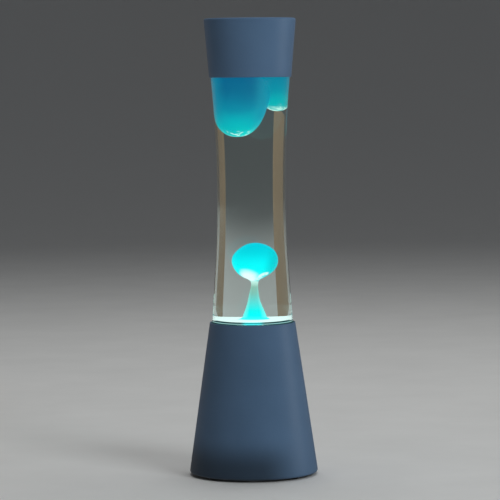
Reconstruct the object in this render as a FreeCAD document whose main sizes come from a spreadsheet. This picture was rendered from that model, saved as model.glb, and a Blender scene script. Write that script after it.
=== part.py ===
import FreeCAD, Part
import math
import os
from types import SimpleNamespace

import Sketcher

# A waisted glass lava lamp: cone base with its lampholder and bulb, sealed bottle of liquid and wax, and cap.
# Millimetres and degrees. The origin is the middle of the floor under the feet, +Z is up, and the cable
# leaves the rear of the base, at +Y. Every driving size is a cell of the sheet named Sizes.

os.makedirs("parts", exist_ok=True)
doc = FreeCAD.newDocument("LavaLamp")

# ---------------------------------------------------------------- driving sizes

SIZES = {
    "base shell": {
        "shell_bottom": 2.0,
        "shell_foot_radius": 55.8,
        "shell_rim_radius": 37.1,
        "shell_rim_height": 132.5,
        "shell_wall": 1.2,
        "shell_edge_round": 2.0,
        "shell_curl": 2.9,
        "ledge_top": 121.8,
        "ledge_inner_radius": 27.0,
        "collar_radius": 35.9,
        "rim_round": 0.6,
    },
    "seat gasket": {
        "gasket_inner_radius": 27.6,
        "gasket_radius": 35.85,
        "gasket_lip": 0.45,
        "gasket_top": 132.9,
    },
    "bottle": {
        "heel_height": 124.0,
        "heel_radius": 5.0,
        "heel_outer_radius": 35.2,
        "punt_radius": 24.0,
        "punt_slope": 3.0,
        "punt_height": 126.0,
        "flank_top_height": 185.0,
        "flank_top_radius": 31.55,
        "waist_height": 244.0,
        "waist_radius": 29.45,
        "lower_curve": 830.0,
        "upper_curve": 1033.0,
        "shoulder_height": 345.0,
        "shoulder_outer_radius": 34.3,
        "shoulder_round": 14.0,
        "throat_round": 7.9,
        "glass_wall": 2.6,
        "floor_height": 128.5,
        "floor_rise_height": 132.6,
        "finish_height": 381.0,
        "finish_radius": 13.3,
        "finish_step": 1.0,
        "finish_ramp": 3.0,
        "mouth_radius": 8.8,
        "mouth_height": 388.0,
        "mouth_round": 1.0,
    },
    "bottle closure": {
        "liner_thickness": 0.6,
        "liner_clearance": 0.2,
        "crown_thickness": 0.4,
        "crown_edge_round": 1.0,
        "crown_knee_drop": 1.0,
        "crown_inner_radius": 13.6,
        "crown_skirt_radius": 15.6,
        "crown_skirt_height": 382.8,
    },
    "liquid and wax": {
        "liquid_height": 352.0,
        "pool_height": 134.5,
        "coil_radius": 19.5,
        "coil_section": 1.7,
        "coil_lift": 0.2,
        "stem_offset": 1.4,
        "stem_foot_radius": 10.0,
        "stem_foot_depth": 1.0,
        "stem_curve": 45.0,
        "stem_neck_radius": 2.3,
        "stem_neck_height": 158.0,
        "blob_bottom": 166.0,
        "blob_top": 201.4,
        "blob_offset": 1.9,
        "blob_radius": 14.7,
        "blob_widest": 184.2,
        "blob_lower_curve": 18.0,
        "mass_top": 350.0,
        "left_mass_across": -8.95,
        "left_mass_forward": -4.0,
        "left_mass_bottom": 293.6,
        "left_dome_radius": 15.8,
        "left_dome_top": 305.9,
        "left_flank_radius": 19.9,
        "left_flank_height": 318.6,
        "left_belly_radius": 22.2,
        "left_belly_height": 331.6,
        "left_crown_radius": 15.0,
        "right_mass_across": 16.0,
        "right_mass_forward": 6.0,
        "right_mass_bottom": 315.6,
        "right_dome_radius": 9.8,
        "right_dome_top": 324.0,
        "right_flank_radius": 12.5,
        "right_flank_height": 329.0,
        "right_belly_radius": 16.5,
        "right_belly_height": 336.0,
        "right_crown_radius": 22.0,
    },
    "cap": {
        "cap_bottom": 344.3,
        "cap_top": 395.0,
        "cap_bottom_radius": 35.5,
        "cap_top_radius": 39.8,
        "cap_wall": 1.0,
        "cap_crown_thickness": 1.2,
        "cap_edge_round": 1.8,
        "felt_bottom": 347.0,
        "felt_top": 354.0,
        "felt_inner_radius": 34.22,
        "pad_radius": 24.0,
    },
    "bottom cover and feet": {
        "cover_radius": 52.3,
        "cover_bottom": 2.4,
        "cover_thickness": 2.5,
        "cover_boss_radius": 3.2,
        "cover_boss_top": 8.9,
        "vent_inner_radius": 8.0,
        "vent_outer_radius": 17.0,
        "vent_width": 3.0,
        "vent_count": 10.0,
        "foot_radius": 7.0,
        "foot_circle": 44.0,
        "foot_stem_radius": 2.0,
        "foot_barb_radius": 3.0,
        "foot_barb_height": 1.5,
        "foot_clearance": 0.05,
        "foot_round": 0.8,
    },
    "screws": {
        "screw_head_radius": 3.0,
        "screw_head_height": 1.5,
        "screw_shank_radius": 1.45,
        "screw_hole_radius": 1.7,
        "tapped_radius": 1.5,
        "counterbore_radius": 3.3,
        "counterbore_depth": 1.6,
        "small_shank_radius": 1.2,
        "small_tapped_radius": 1.25,
        "tapping_spare": 1.0,
        "recess_width": 0.8,
        "recess_depth": 0.9,
        "recess_cutter": 3.6,
        "screw_head_round": 0.5,
        "screw_point": 0.6,
        "screw_past_lug": 1.5,
    },
    "shell lugs": {
        "lug_inner_radius": 37.0,
        "lug_width": 12.0,
        "lug_thickness": 1.5,
        "lug_rise": 15.0,
        "lug_screw_circle": 47.0,
        "lug_wall_radius": 51.5,
        "earth_screw_circle": 41.0,
        "earth_screw_recess": 0.2,
    },
    "holder bracket": {
        "bracket_top": 22.0,
        "bracket_sheet": 1.5,
        "bracket_leg": 22.0,
        "bracket_reach": 33.0,
        "bracket_width": 16.0,
        "bracket_screw_across": 27.6,
        "bracket_screw_length": 5.5,
        "block_screw_length": 6.5,
    },
    "lampholder": {
        "nipple_radius": 5.0,
        "nipple_bore": 4.0,
        "nipple_bottom": 15.5,
        "nipple_clearance": 0.05,
        "nut_height": 3.0,
        "nut_corner_radius": 8.1,
        "holder_floor": 24.0,
        "holder_chamfer": 1.5,
        "holder_edge_round": 1.0,
        "holder_flare_bottom": 36.0,
        "holder_flare_top": 37.0,
        "holder_chamber_radius": 9.8,
        "holder_chamber_top": 35.0,
        "holder_seat": 38.0,
        "holder_top": 62.0,
        "holder_bore": 8.0,
        "holder_neck_radius": 12.5,
        "holder_radius": 13.5,
        "sleeve_radius": 7.45,
        "sleeve_crest_radius": 7.05,
        "sleeve_wall": 0.35,
        "sleeve_plain": 1.0,
        "sleeve_top": 57.0,
        "thread_pitch": 2.822,
        "contact_half_width": 2.0,
        "contact_reach": 6.0,
        "contact_sheet": 0.5,
        "contact_slope_start": 4.6,
        "contact_pad": 2.0,
        "tip_height": 40.0,
        "holder_terminal_across": 5.0,
        "holder_terminal_side": 4.0,
        "holder_terminal_height": 4.0,
        "holder_terminal_bore": 1.2,
        "holder_terminal_drill": 3.0,
    },
    "bulb": {
        "tip_radius": 2.4,
        "tip_round": 1.0,
        "tip_edge": 0.2,
        "tip_depth": 1.2,
        "insulator_foot_radius": 3.0,
        "insulator_top": 43.6,
        "insulator_radius": 5.9,
        "bulb_cap_crest": 6.95,
        "bulb_cap_root": 6.35,
        "bulb_cap_wall": 0.4,
        "bulb_cap_plain": 0.4,
        "bulb_cap_top": 58.8,
        "bulb_collar_radius": 7.5,
        "bulb_collar_height": 1.4,
        "bulb_collar_flare": 0.4,
        "bulb_glass_low": 52.8,
        "bulb_neck_top": 57.8,
        "bulb_neck_radius": 5.8,
        "bulb_throat_radius": 8.2,
        "bulb_throat_height": 65.0,
        "bulb_belly_radius": 19.5,
        "bulb_belly_height": 92.5,
        "bulb_flank_radius": 16.0,
        "bulb_flank_height": 79.0,
        "bulb_shoulder_foot_radius": 19.0,
        "bulb_shoulder_foot": 97.5,
        "bulb_shoulder_curve": 7.5,
        "bulb_face_radius": 15.0,
        "bulb_face_height": 104.5,
        "bulb_face_top": 106.0,
        "bulb_glass_wall": 0.7,
        "stem_glass_radius": 2.6,
        "stem_glass_top": 74.0,
        "lead_radius": 0.3,
        "lead_foot_across": 1.4,
        "lead_rise": 6.0,
        "lead_tip_across": 5.9,
        "lead_tip_gap": 0.9,
        "filament_half_length": 6.5,
        "filament_radius": 0.45,
        "filament_height": 88.0,
    },
    "wiring": {
        "block_back": 35.5,
        "block_length": 17.0,
        "block_pitch": 8.0,
        "block_top": 18.4,
        "block_barrel_radius": 3.9,
        "tube_height": 11.0,
        "tube_radius": 2.25,
        "tube_bore": 1.5,
        "tube_clearance": 0.05,
        "tube_end_gap": 1.0,
        "block_screw_radius": 1.3,
        "block_screw_inset": 4.25,
        "block_screw_low": 12.2,
        "block_screw_depth": 2.5,
        "chimney_wall": 1.2,
        "well_clearance": 0.1,
        "tapping_clearance": 0.05,
        "wire_radius": 1.1,
        "wire_grip": 5.0,
        "wire_lead_out": 5.0,
        "nipple_wire_across": 1.54,
        "wire_climb": 12.0,
        "wire_flare": 2.5,
        "wire_in_terminal": 1.5,
        "earth_turn_across": 16.0,
        "earth_turn_rear": 8.5,
        "earth_approach_across": 27.0,
        "earth_approach_rear": 14.0,
        "earth_wire_stop": 5.0,
        "earth_tag_radius": 4.0,
        "earth_tag_sheet": 0.8,
        "earth_tongue_length": 6.0,
        "earth_tongue_width": 3.0,
        "earth_tongue_reach": 8.0,
        "earth_barrel_length": 4.5,
        "earth_barrel_reach": 9.0,
        "earth_barrel_lift": 0.1,
        "earth_barrel_radius": 1.9,
        "earth_barrel_bore": 1.15,
        "cable_height": 12.0,
        "cable_bore": 3.3,
        "shell_cable_hole": 5.0,
        "grommet_neck": 4.95,
        "grommet_flange": 6.9,
        "grommet_inside": 49.5,
        "grommet_outside": 55.4,
        "clamp_across": 9.0,
        "clamp_rear": 43.0,
        "clamp_reach": 12.4,
        "clamp_width": 6.0,
        "clamp_sheet": 1.6,
    },
}


class Size:
    """A length or an angle: its number, and the formula over the sheet's cells that gives it."""

    def __init__(self, number, formula):
        self.number = float(number)
        self.formula = formula

    def __add__(self, other):
        other = as_size(other)
        return Size(self.number + other.number, f"({self.formula} + {other.formula})")

    def __sub__(self, other):
        other = as_size(other)
        return Size(self.number - other.number, f"({self.formula} - {other.formula})")

    def __mul__(self, other):
        other = as_size(other)
        return Size(self.number * other.number, f"({self.formula} * {other.formula})")

    def __truediv__(self, other):
        other = as_size(other)
        return Size(self.number / other.number, f"({self.formula} / {other.formula})")

    def __neg__(self):
        return Size(-self.number, f"(0 - {self.formula})")


def as_size(value):
    """Gives a plain number the same form as a size from the sheet."""
    return value if isinstance(value, Size) else Size(value, repr(float(value)))


sheet = doc.addObject("Spreadsheet::Sheet", "Sizes")
size = SimpleNamespace()
row = 0
for group, cells in SIZES.items():
    row += 1
    sheet.set(f"A{row}", group)
    for word, value in cells.items():
        row += 1
        sheet.set(f"A{row}", word.replace("_", " "))
        sheet.set(f"B{row}", str(value))
        sheet.setAlias(f"B{row}", word)
        setattr(size, word, Size(value, f"Sizes.{word}"))
doc.recompute()

# ---------------------------------------------------------------- drawing and shaping helpers

Z_AXIS = FreeCAD.Vector(0, 0, 1)
ACROSS_AXIS = -1
UP_AXIS = -2
CENTRE = 3
FRONT_PLANE = "XZ_Plane"
FLOOR_PLANE = "XY_Plane"
UPRIGHT = FreeCAD.Rotation()
ALONG_X = FreeCAD.Rotation(FreeCAD.Vector(0, 1, 0), 90)
ALONG_Y = FreeCAD.Rotation(FreeCAD.Vector(1, 0, 0), -90)
UPSIDE_DOWN = FreeCAD.Rotation(FreeCAD.Vector(1, 0, 0), 180)

pieces = []


def piece(thing, label):
    """Names a finished sub-part and lists it for export."""
    thing.Label = label
    pieces.append(thing)
    return thing


def bind(thing, prop, value):
    """Ties a property to the sheet formula of its size."""
    value = as_size(value)
    thing.setExpression(prop, value.formula)


def place(thing, at, turn=UPRIGHT):
    """Turns a thing about its own origin and moves it to a point whose coordinates are sizes."""
    values = [as_size(value) for value in at]
    thing.Placement = FreeCAD.Placement(FreeCAD.Vector(*[value.number for value in values]), turn)
    for axis, value in zip("xyz", values):
        if value.number:
            bind(thing, f"Placement.Base.{axis}", value)
    return thing


def polar(radius, angle):
    """The across and rearward sizes of a point at a radius, turned from +X by an angle in degrees."""
    turn = math.radians(angle)
    return radius * math.cos(turn), radius * math.sin(turn)


def new_sketch(body, name, plane, offset=0):
    """Starts a sketch on one of a body's origin planes, moved off the plane by an offset."""
    sketch = body.newObject("Sketcher::SketchObject", name)
    support = [feature for feature in body.Origin.OriginFeatures if feature.Role == plane][0]
    sketch.AttachmentSupport = [(support, "")]
    sketch.MapMode = "FlatFace"
    lift = as_size(offset)
    if lift.number:
        sketch.AttachmentOffset = FreeCAD.Placement(FreeCAD.Vector(0, 0, lift.number), UPRIGHT)
        bind(sketch, "AttachmentOffset.Base.z", lift)
    return sketch


def pin_down(sketch, edge, end, value, way, axis):
    """Holds one coordinate of a sketch point at its size, or on the axis when the size is nothing."""
    if value.number == 0:
        sketch.addConstraint(Sketcher.Constraint("PointOnObject", edge, end, axis))
        return
    index = sketch.addConstraint(Sketcher.Constraint(way, edge, end, value.number))
    bind(sketch, f"Constraints[{index}]", value)


def arc_between(start, end, radius, centre_side):
    """The short arc from start to end whose centre lies on the left or the right of the way it runs."""
    middle = (start + end) / 2
    chord = end - start
    depth = math.sqrt(max(radius**2 - (chord.Length / 2) ** 2, 0))
    left = FreeCAD.Vector(-chord.y, chord.x, 0) / chord.Length
    centre = middle + left * (depth if centre_side == "left" else -depth)
    first, last = (start, end) if centre_side == "left" else (end, start)
    angles = [math.atan2(point.y - centre.y, point.x - centre.x) for point in (first, last)]
    return Part.ArcOfCircle(Part.Circle(centre, Z_AXIS, radius), angles[0], angles[1])


def draw_outline(sketch, corners):
    """Draws a closed outline and ties each corner to the sheet.

    A corner is (across, up), or (across, up, radius, side) where an arc of that radius arrives at it with its
    centre on that side, left or right, of the way that the outline runs.
    """
    spots = [(as_size(corner[0]), as_size(corner[1])) for corner in corners]
    points = [FreeCAD.Vector(across.number, up.number, 0) for across, up in spots]
    ends = []
    for index, corner in enumerate(corners):
        start, end = points[index - 1], points[index]
        if len(corner) == 2:
            edge = sketch.addGeometry(Part.LineSegment(start, end))
            ends.append((edge, 1, 2))
            continue
        radius = as_size(corner[2])
        edge = sketch.addGeometry(arc_between(start, end, radius.number, corner[3]))
        ends.append((edge, 1, 2) if corner[3] == "left" else (edge, 2, 1))
        rule = sketch.addConstraint(Sketcher.Constraint("Radius", edge, radius.number))
        bind(sketch, f"Constraints[{rule}]", radius)
    for index, (edge, start, end) in enumerate(ends):
        following, next_start, _ = ends[(index + 1) % len(ends)]
        sketch.addConstraint(Sketcher.Constraint("Coincident", edge, end, following, next_start))
        across, up = spots[index]
        pin_down(sketch, edge, end, across, "DistanceX", UP_AXIS)
        pin_down(sketch, edge, end, up, "DistanceY", ACROSS_AXIS)


def draw_circles(sketch, spots, radius):
    """Draws equal circles at spots given as (across, up) sizes."""
    for across, up in spots:
        across, up, width = as_size(across), as_size(up), as_size(radius)
        middle = FreeCAD.Vector(across.number, up.number, 0)
        edge = sketch.addGeometry(Part.Circle(middle, Z_AXIS, width.number))
        rule = sketch.addConstraint(Sketcher.Constraint("Radius", edge, width.number))
        bind(sketch, f"Constraints[{rule}]", width)
        pin_down(sketch, edge, CENTRE, across, "DistanceX", UP_AXIS)
        pin_down(sketch, edge, CENTRE, up, "DistanceY", ACROSS_AXIS)


def turned(name, corners):
    """A body turned about its upright axis from half of its section."""
    body = doc.addObject("PartDesign::Body", name)
    sketch = new_sketch(body, name + "_section", FRONT_PLANE)
    draw_outline(sketch, corners)
    turning = body.newObject("PartDesign::Revolution", name + "_turning")
    turning.Profile = sketch
    turning.ReferenceAxis = (sketch, ["V_Axis"])
    turning.Angle = 360
    return body


def padded(body, name, sketch, length, centred=False):
    """Raises a sketch into the body by a length, upwards, or both ways when centred."""
    pad = body.newObject("PartDesign::Pad", name)
    pad.Profile = sketch
    pad.Length = as_size(length).number
    bind(pad, "Length", length)
    pad.SideType = "Symmetric" if centred else "One side"
    return pad


def pocketed(body, name, sketch, depth, upwards):
    """Cuts a sketch out of the body, up or down from its plane, and makes sure that it cut something."""
    doc.recompute()
    before = body.Shape.Volume
    pocket = body.newObject("PartDesign::Pocket", name)
    pocket.Profile = sketch
    pocket.Length = as_size(depth).number
    bind(pocket, "Length", depth)
    pocket.Reversed = upwards
    doc.recompute()
    if body.Shape.Volume >= before:
        raise RuntimeError(f"{name} cuts nothing")
    return pocket


def cylinder(name, radius, height, at=(0, 0, 0), turn=UPRIGHT):
    """A cylinder from a point, along its turned axis."""
    made = doc.addObject("Part::Cylinder", name)
    bind(made, "Radius", radius)
    bind(made, "Height", height)
    return place(made, at, turn)


def cone(name, low_radius, high_radius, low, high):
    """An upright cone frustum on the lamp's axis, between two heights."""
    made = doc.addObject("Part::Cone", name)
    bind(made, "Radius1", low_radius)
    bind(made, "Radius2", high_radius)
    bind(made, "Height", high - low)
    return place(made, (0, 0, low))


def block(name, length, width, height, at, turn=UPRIGHT):
    """A box from its low corner."""
    made = doc.addObject("Part::Box", name)
    bind(made, "Length", length)
    bind(made, "Width", width)
    bind(made, "Height", height)
    return place(made, at, turn)


def fused(name, *things):
    made = doc.addObject("Part::MultiFuse", name)
    made.Shapes = list(things)
    return made


def shared(name, *things):
    made = doc.addObject("Part::MultiCommon", name)
    made.Shapes = list(things)
    return made


def cut(name, base, *tools):
    made = doc.addObject("Part::Cut", name)
    made.Base = base
    made.Tool = tools[0] if len(tools) == 1 else fused(name + "_tools", *tools)
    return made


def group(name, things):
    """Separate solids that share one name, such as identical screws."""
    made = doc.addObject("Part::Compound", name)
    made.Links = list(things)
    return made


# ---------------------------------------------------------------- base shell and seat gasket


def shell_radius(height):
    """The outer radius of the cone of the base at a height."""
    taper = (size.shell_foot_radius - size.shell_rim_radius) / (size.shell_rim_height - size.shell_bottom)
    return size.shell_foot_radius - (as_size(height) - size.shell_bottom) * taper


def shell_inner_radius(height):
    return shell_radius(height) - size.shell_wall


def make_base_shell():
    """The spun cone: its foot curls in under the cover, and its rim turns down into a collar and a ledge."""
    edge_height = size.shell_bottom + size.shell_edge_round
    curl_radius = size.shell_foot_radius - size.shell_curl
    curl_top = size.shell_bottom + size.shell_wall
    ledge_bottom = size.ledge_top - size.shell_wall
    rim_side = size.shell_rim_height - size.rim_round
    shell = turned("shell_cone", [
        (curl_radius, size.shell_bottom),
        (shell_radius(edge_height) - size.shell_edge_round, size.shell_bottom),
        (shell_radius(edge_height), edge_height, size.shell_edge_round, "left"),
        (size.shell_rim_radius, rim_side),
        (size.shell_rim_radius - size.rim_round, size.shell_rim_height, size.rim_round, "left"),
        (size.collar_radius, rim_side, size.rim_round, "left"),
        (size.collar_radius, size.ledge_top),
        (size.ledge_inner_radius, size.ledge_top),
        (size.ledge_inner_radius, ledge_bottom),
        (shell_inner_radius(ledge_bottom), ledge_bottom),
        (shell_inner_radius(curl_top), curl_top),
        (curl_radius, curl_top),
    ])
    hole = cylinder("shell_cable_drill", size.shell_cable_hole, size.shell_foot_radius,
                    (0, 0, size.cable_height), ALONG_Y)
    return piece(cut("base_shell_drilled", shell, hole), "base_shell")


def make_seat_gasket():
    """The clear silicone ring: flat under the bottle's heel, with a lip between the glass and the rim."""
    lip_inner = size.gasket_radius - size.gasket_lip
    return piece(turned("seat_gasket_ring", [
        (size.gasket_inner_radius, size.ledge_top),
        (size.gasket_radius, size.ledge_top),
        (size.gasket_radius, size.gasket_top),
        (lip_inner, size.gasket_top),
        (lip_inner, size.heel_height),
        (size.gasket_inner_radius, size.heel_height),
    ]), "seat_gasket")


# ---------------------------------------------------------------- bottle, liquid and wax


def inner_shoulder_across():
    return size.shoulder_outer_radius - size.shoulder_round


def throat_height():
    return size.shoulder_height + size.shoulder_round + size.throat_round


def inside_radius(height):
    """The inner radius of the bottle's straight lower flank at a height."""
    low_run = size.flank_top_height - (size.heel_height + size.heel_radius)
    slope = (size.heel_outer_radius - size.flank_top_radius) / low_run
    return size.flank_top_radius + (size.flank_top_height - as_size(height)) * slope - size.glass_wall


def inside_wall():
    """The bottle's inner wall above the floor, going up: flank, waist, and on to the shoulder."""
    wall = size.glass_wall
    return [
        (size.flank_top_radius - wall, size.flank_top_height),
        (size.waist_radius - wall, size.waist_height, size.lower_curve + wall, "right"),
        (size.shoulder_outer_radius - wall, size.shoulder_height, size.upper_curve + wall, "right"),
    ]


def reversed_path(start, path):
    """The same run of corners walked backwards, from the last corner to the start."""
    other = {"left": "right", "right": "left"}
    whole = [start] + path
    back = []
    for index in range(len(whole) - 1, 0, -1):
        arc = whole[index][2:]
        spot = whole[index - 1][:2]
        back.append(spot + ((arc[0], other[arc[1]]) if arc else ()))
    return back


def make_bottle_glass():
    """The waisted bottle: heavy heel with a punt, thin flanks, rounded shoulder, and a crown-cap finish."""
    wall = size.glass_wall
    heel_side = size.heel_height + size.heel_radius
    shoulder_across = inner_shoulder_across()
    shoulder_top = size.shoulder_height + size.shoulder_round
    neck_radius = shoulder_across - size.throat_round
    inner_round = size.shoulder_round - wall
    inner_throat = size.throat_round + wall
    outline = [
        (0, size.punt_height),
        (size.punt_radius - size.punt_slope, size.punt_height),
        (size.punt_radius, size.heel_height),
        (size.heel_outer_radius - size.heel_radius, size.heel_height),
        (size.heel_outer_radius, heel_side, size.heel_radius, "left"),
        (size.flank_top_radius, size.flank_top_height),
        (size.waist_radius, size.waist_height, size.lower_curve, "right"),
        (size.shoulder_outer_radius, size.shoulder_height, size.upper_curve, "right"),
        (shoulder_across, shoulder_top, size.shoulder_round, "left"),
        (neck_radius, throat_height(), size.throat_round, "right"),
        (neck_radius, size.finish_height - size.finish_step),
        (size.finish_radius, size.finish_height),
        (size.finish_radius, size.mouth_height - size.mouth_round),
        (size.finish_radius - size.mouth_round, size.mouth_height, size.mouth_round, "left"),
        (size.mouth_radius, size.mouth_height),
        (size.mouth_radius, size.finish_height),
        (neck_radius - wall, size.finish_height - size.finish_ramp),
        (neck_radius - wall, throat_height()),
        (shoulder_across, shoulder_top - wall, inner_throat, "left"),
        (size.shoulder_outer_radius - wall, size.shoulder_height, inner_round, "right"),
    ]
    floor_edge = (inside_radius(size.floor_rise_height), size.floor_rise_height)
    outline += reversed_path(floor_edge, inside_wall())
    outline += [(size.punt_radius, size.floor_height), (0, size.floor_height)]
    return piece(turned("bottle_blown", outline), "bottle_glass")


def liquid_outline(top):
    """Half of the section of what fills the bottle up to a height on the shoulder."""
    shoulder_across = inner_shoulder_across()
    inner_round = size.shoulder_round - size.glass_wall
    above = top.number - size.shoulder_height.number
    reach = math.sqrt(inner_round.number**2 - above**2)
    above_words = f"({top.formula} - {size.shoulder_height.formula})"
    reach = Size(reach, f"sqrt({inner_round.formula} ^ 2 - {above_words} ^ 2)")
    return [
        (0, size.floor_height),
        (size.punt_radius, size.floor_height),
        (inside_radius(size.floor_rise_height), size.floor_rise_height),
    ] + inside_wall() + [
        (shoulder_across + reach, top, inner_round, "left"),
        (0, top),
    ]


def make_heating_coil():
    """The metal ring in the pool, as the closed outer shape of its turns."""
    ring = doc.addObject("Part::Torus", "coil_ring")
    bind(ring, "Radius1", size.coil_radius)
    bind(ring, "Radius2", size.coil_section)
    place(ring, (0, 0, size.floor_height + size.coil_section + size.coil_lift))
    return piece(ring, "heating_coil")


def make_wax_pool(coil):
    """The wax on the bottle's floor, over the ring, with the flared stem that it draws up."""
    pool = turned("pool_disc", [
        (0, size.floor_height),
        (size.punt_radius, size.floor_height),
        (inside_radius(size.floor_rise_height), size.floor_rise_height),
        (inside_radius(size.pool_height), size.pool_height),
        (0, size.pool_height),
    ])
    stem_low = size.pool_height - size.stem_foot_depth
    stem = turned("pool_stem", [
        (0, stem_low),
        (size.stem_foot_radius, stem_low),
        (size.stem_foot_radius, size.pool_height),
        (size.stem_neck_radius, size.stem_neck_height, size.stem_curve, "right"),
        (size.stem_neck_radius, size.blob_bottom),
        (0, size.blob_bottom),
    ])
    place(stem, (size.stem_offset, 0, 0))
    whole = fused("pool_and_stem", pool, stem)
    piece(cut("wax_pool_solid", whole, coil), "wax_pool")
    return whole


def dome_radius(across, rise):
    """The radius of a dome centred on the axis that reaches across that far and rises that much."""
    return (across * across + rise * rise) / (rise * 2)


def make_wax_blob():
    """The drop of wax that lets go of the stem and rises."""
    drop = turned("blob_drop", [
        (0, size.blob_bottom),
        (size.stem_neck_radius, size.blob_bottom),
        (size.blob_radius, size.blob_widest, size.blob_lower_curve, "left"),
        (0, size.blob_top, dome_radius(size.blob_radius, size.blob_top - size.blob_widest), "left"),
    ])
    return piece(place(drop, (size.blob_offset, 0, 0)), "wax_blob")


def hanging_mass(name, bottom, dome, flank, belly, crown_radius, at):
    """A mass of wax that hangs from the top of the liquid: a domed bottom, then sides that widen upwards.

    The dome's edge, the flank and the belly are (radius, height).
    """
    mass = turned(name, [
        (0, bottom),
        (*dome, dome_radius(dome[0], dome[1] - bottom), "left"),
        flank,
        belly,
        (crown_radius, size.mass_top),
        (0, size.mass_top),
    ])
    return place(mass, at)


def make_top_masses():
    """Two masses at the top, cut to the bottle's inner wall, the left one in front of the right one."""
    left = hanging_mass(
        "left_mass_form", size.left_mass_bottom,
        (size.left_dome_radius, size.left_dome_top),
        (size.left_flank_radius, size.left_flank_height),
        (size.left_belly_radius, size.left_belly_height),
        size.left_crown_radius,
        (size.left_mass_across, size.left_mass_forward, 0),
    )
    right = hanging_mass(
        "right_mass_form", size.right_mass_bottom,
        (size.right_dome_radius, size.right_dome_top),
        (size.right_flank_radius, size.right_flank_height),
        (size.right_belly_radius, size.right_belly_height),
        size.right_crown_radius,
        (size.right_mass_across, size.right_mass_forward, 0),
    )
    filling = turned("bottle_filling", liquid_outline(size.liquid_height))
    left_inside = shared("left_mass_inside", left, filling)
    right_inside = shared("right_mass_inside", right, filling)
    right_behind = cut("right_mass_behind", right_inside, left_inside)
    return piece(left_inside, "wax_mass_left"), piece(right_behind, "wax_mass_right"), filling


def make_contents():
    coil = make_heating_coil()
    pool = make_wax_pool(coil)
    blob = make_wax_blob()
    left, right, filling = make_top_masses()
    return piece(cut("liquid_filling", filling, pool, blob, left, right), "liquid")


def make_closure():
    """The crown cap and its liner, on the bottle's finish."""
    sheet_metal = size.crown_thickness
    liner_top = size.mouth_height + size.liner_thickness
    crown_top = liner_top + sheet_metal
    knee = size.mouth_height - size.crown_knee_drop
    liner_radius = size.crown_inner_radius - size.liner_clearance
    outer = size.crown_inner_radius + sheet_metal
    edge = size.crown_edge_round
    piece(turned("crown_liner_disc", [
        (0, size.mouth_height),
        (liner_radius, size.mouth_height),
        (liner_radius, liner_top),
        (0, liner_top),
    ]), "crown_liner")
    piece(turned("crown_cap_sheet", [
        (0, liner_top),
        (size.crown_inner_radius, liner_top),
        (size.crown_inner_radius, knee),
        (size.crown_skirt_radius - sheet_metal, size.crown_skirt_height),
        (size.crown_skirt_radius, size.crown_skirt_height),
        (outer, knee),
        (outer, crown_top - edge),
        (outer - edge, crown_top, edge, "left"),
        (0, crown_top),
    ]), "crown_cap")
    return crown_top


# ---------------------------------------------------------------- cap


def cap_radius(height):
    """The outer radius of the cap's cone at a height."""
    taper = (size.cap_top_radius - size.cap_bottom_radius) / (size.cap_top - size.cap_bottom)
    return size.cap_bottom_radius + (as_size(height) - size.cap_bottom) * taper


def make_cap(crown_top):
    """The spun inverted cone, with its felt ring around the shoulder and its foam pad on the crown."""
    under = size.cap_top - size.cap_crown_thickness
    edge = size.cap_top - size.cap_edge_round
    piece(turned("cap_shell_cone", [
        (size.cap_bottom_radius - size.cap_wall, size.cap_bottom),
        (size.cap_bottom_radius, size.cap_bottom),
        (cap_radius(edge), edge),
        (cap_radius(edge) - size.cap_edge_round, size.cap_top, size.cap_edge_round, "left"),
        (0, size.cap_top),
        (0, under),
        (cap_radius(under) - size.cap_wall, under),
    ]), "cap_shell")
    piece(turned("cap_felt_strip", [
        (size.felt_inner_radius, size.felt_bottom),
        (cap_radius(size.felt_bottom) - size.cap_wall, size.felt_bottom),
        (cap_radius(size.felt_top) - size.cap_wall, size.felt_top),
        (size.felt_inner_radius, size.felt_top),
    ]), "cap_felt_ring")
    piece(cylinder("cap_pad_disc", size.pad_radius, under - crown_top, (0, 0, crown_top)), "cap_pad")


# ---------------------------------------------------------------- bottom cover, feet and screws

LUG_ANGLES = (30, 150, 270)
FOOT_ANGLES = (45, 135, 225, 315)
EARTH_ANGLE = LUG_ANGLES[0]


def cover_top():
    return size.cover_bottom + size.cover_thickness


def block_middle():
    return size.block_back - size.block_length / 2


def lug_screw_spots():
    return [polar(size.lug_screw_circle, angle) for angle in LUG_ANGLES]


def bracket_screw_spots():
    return [(size.bracket_screw_across, 0), (-size.bracket_screw_across, 0)]


def block_screw_spot():
    return size.block_pitch / 2, block_middle()


def clamp_screw_spots():
    return [(size.clamp_across, size.clamp_rear), (-size.clamp_across, size.clamp_rear)]


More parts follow.
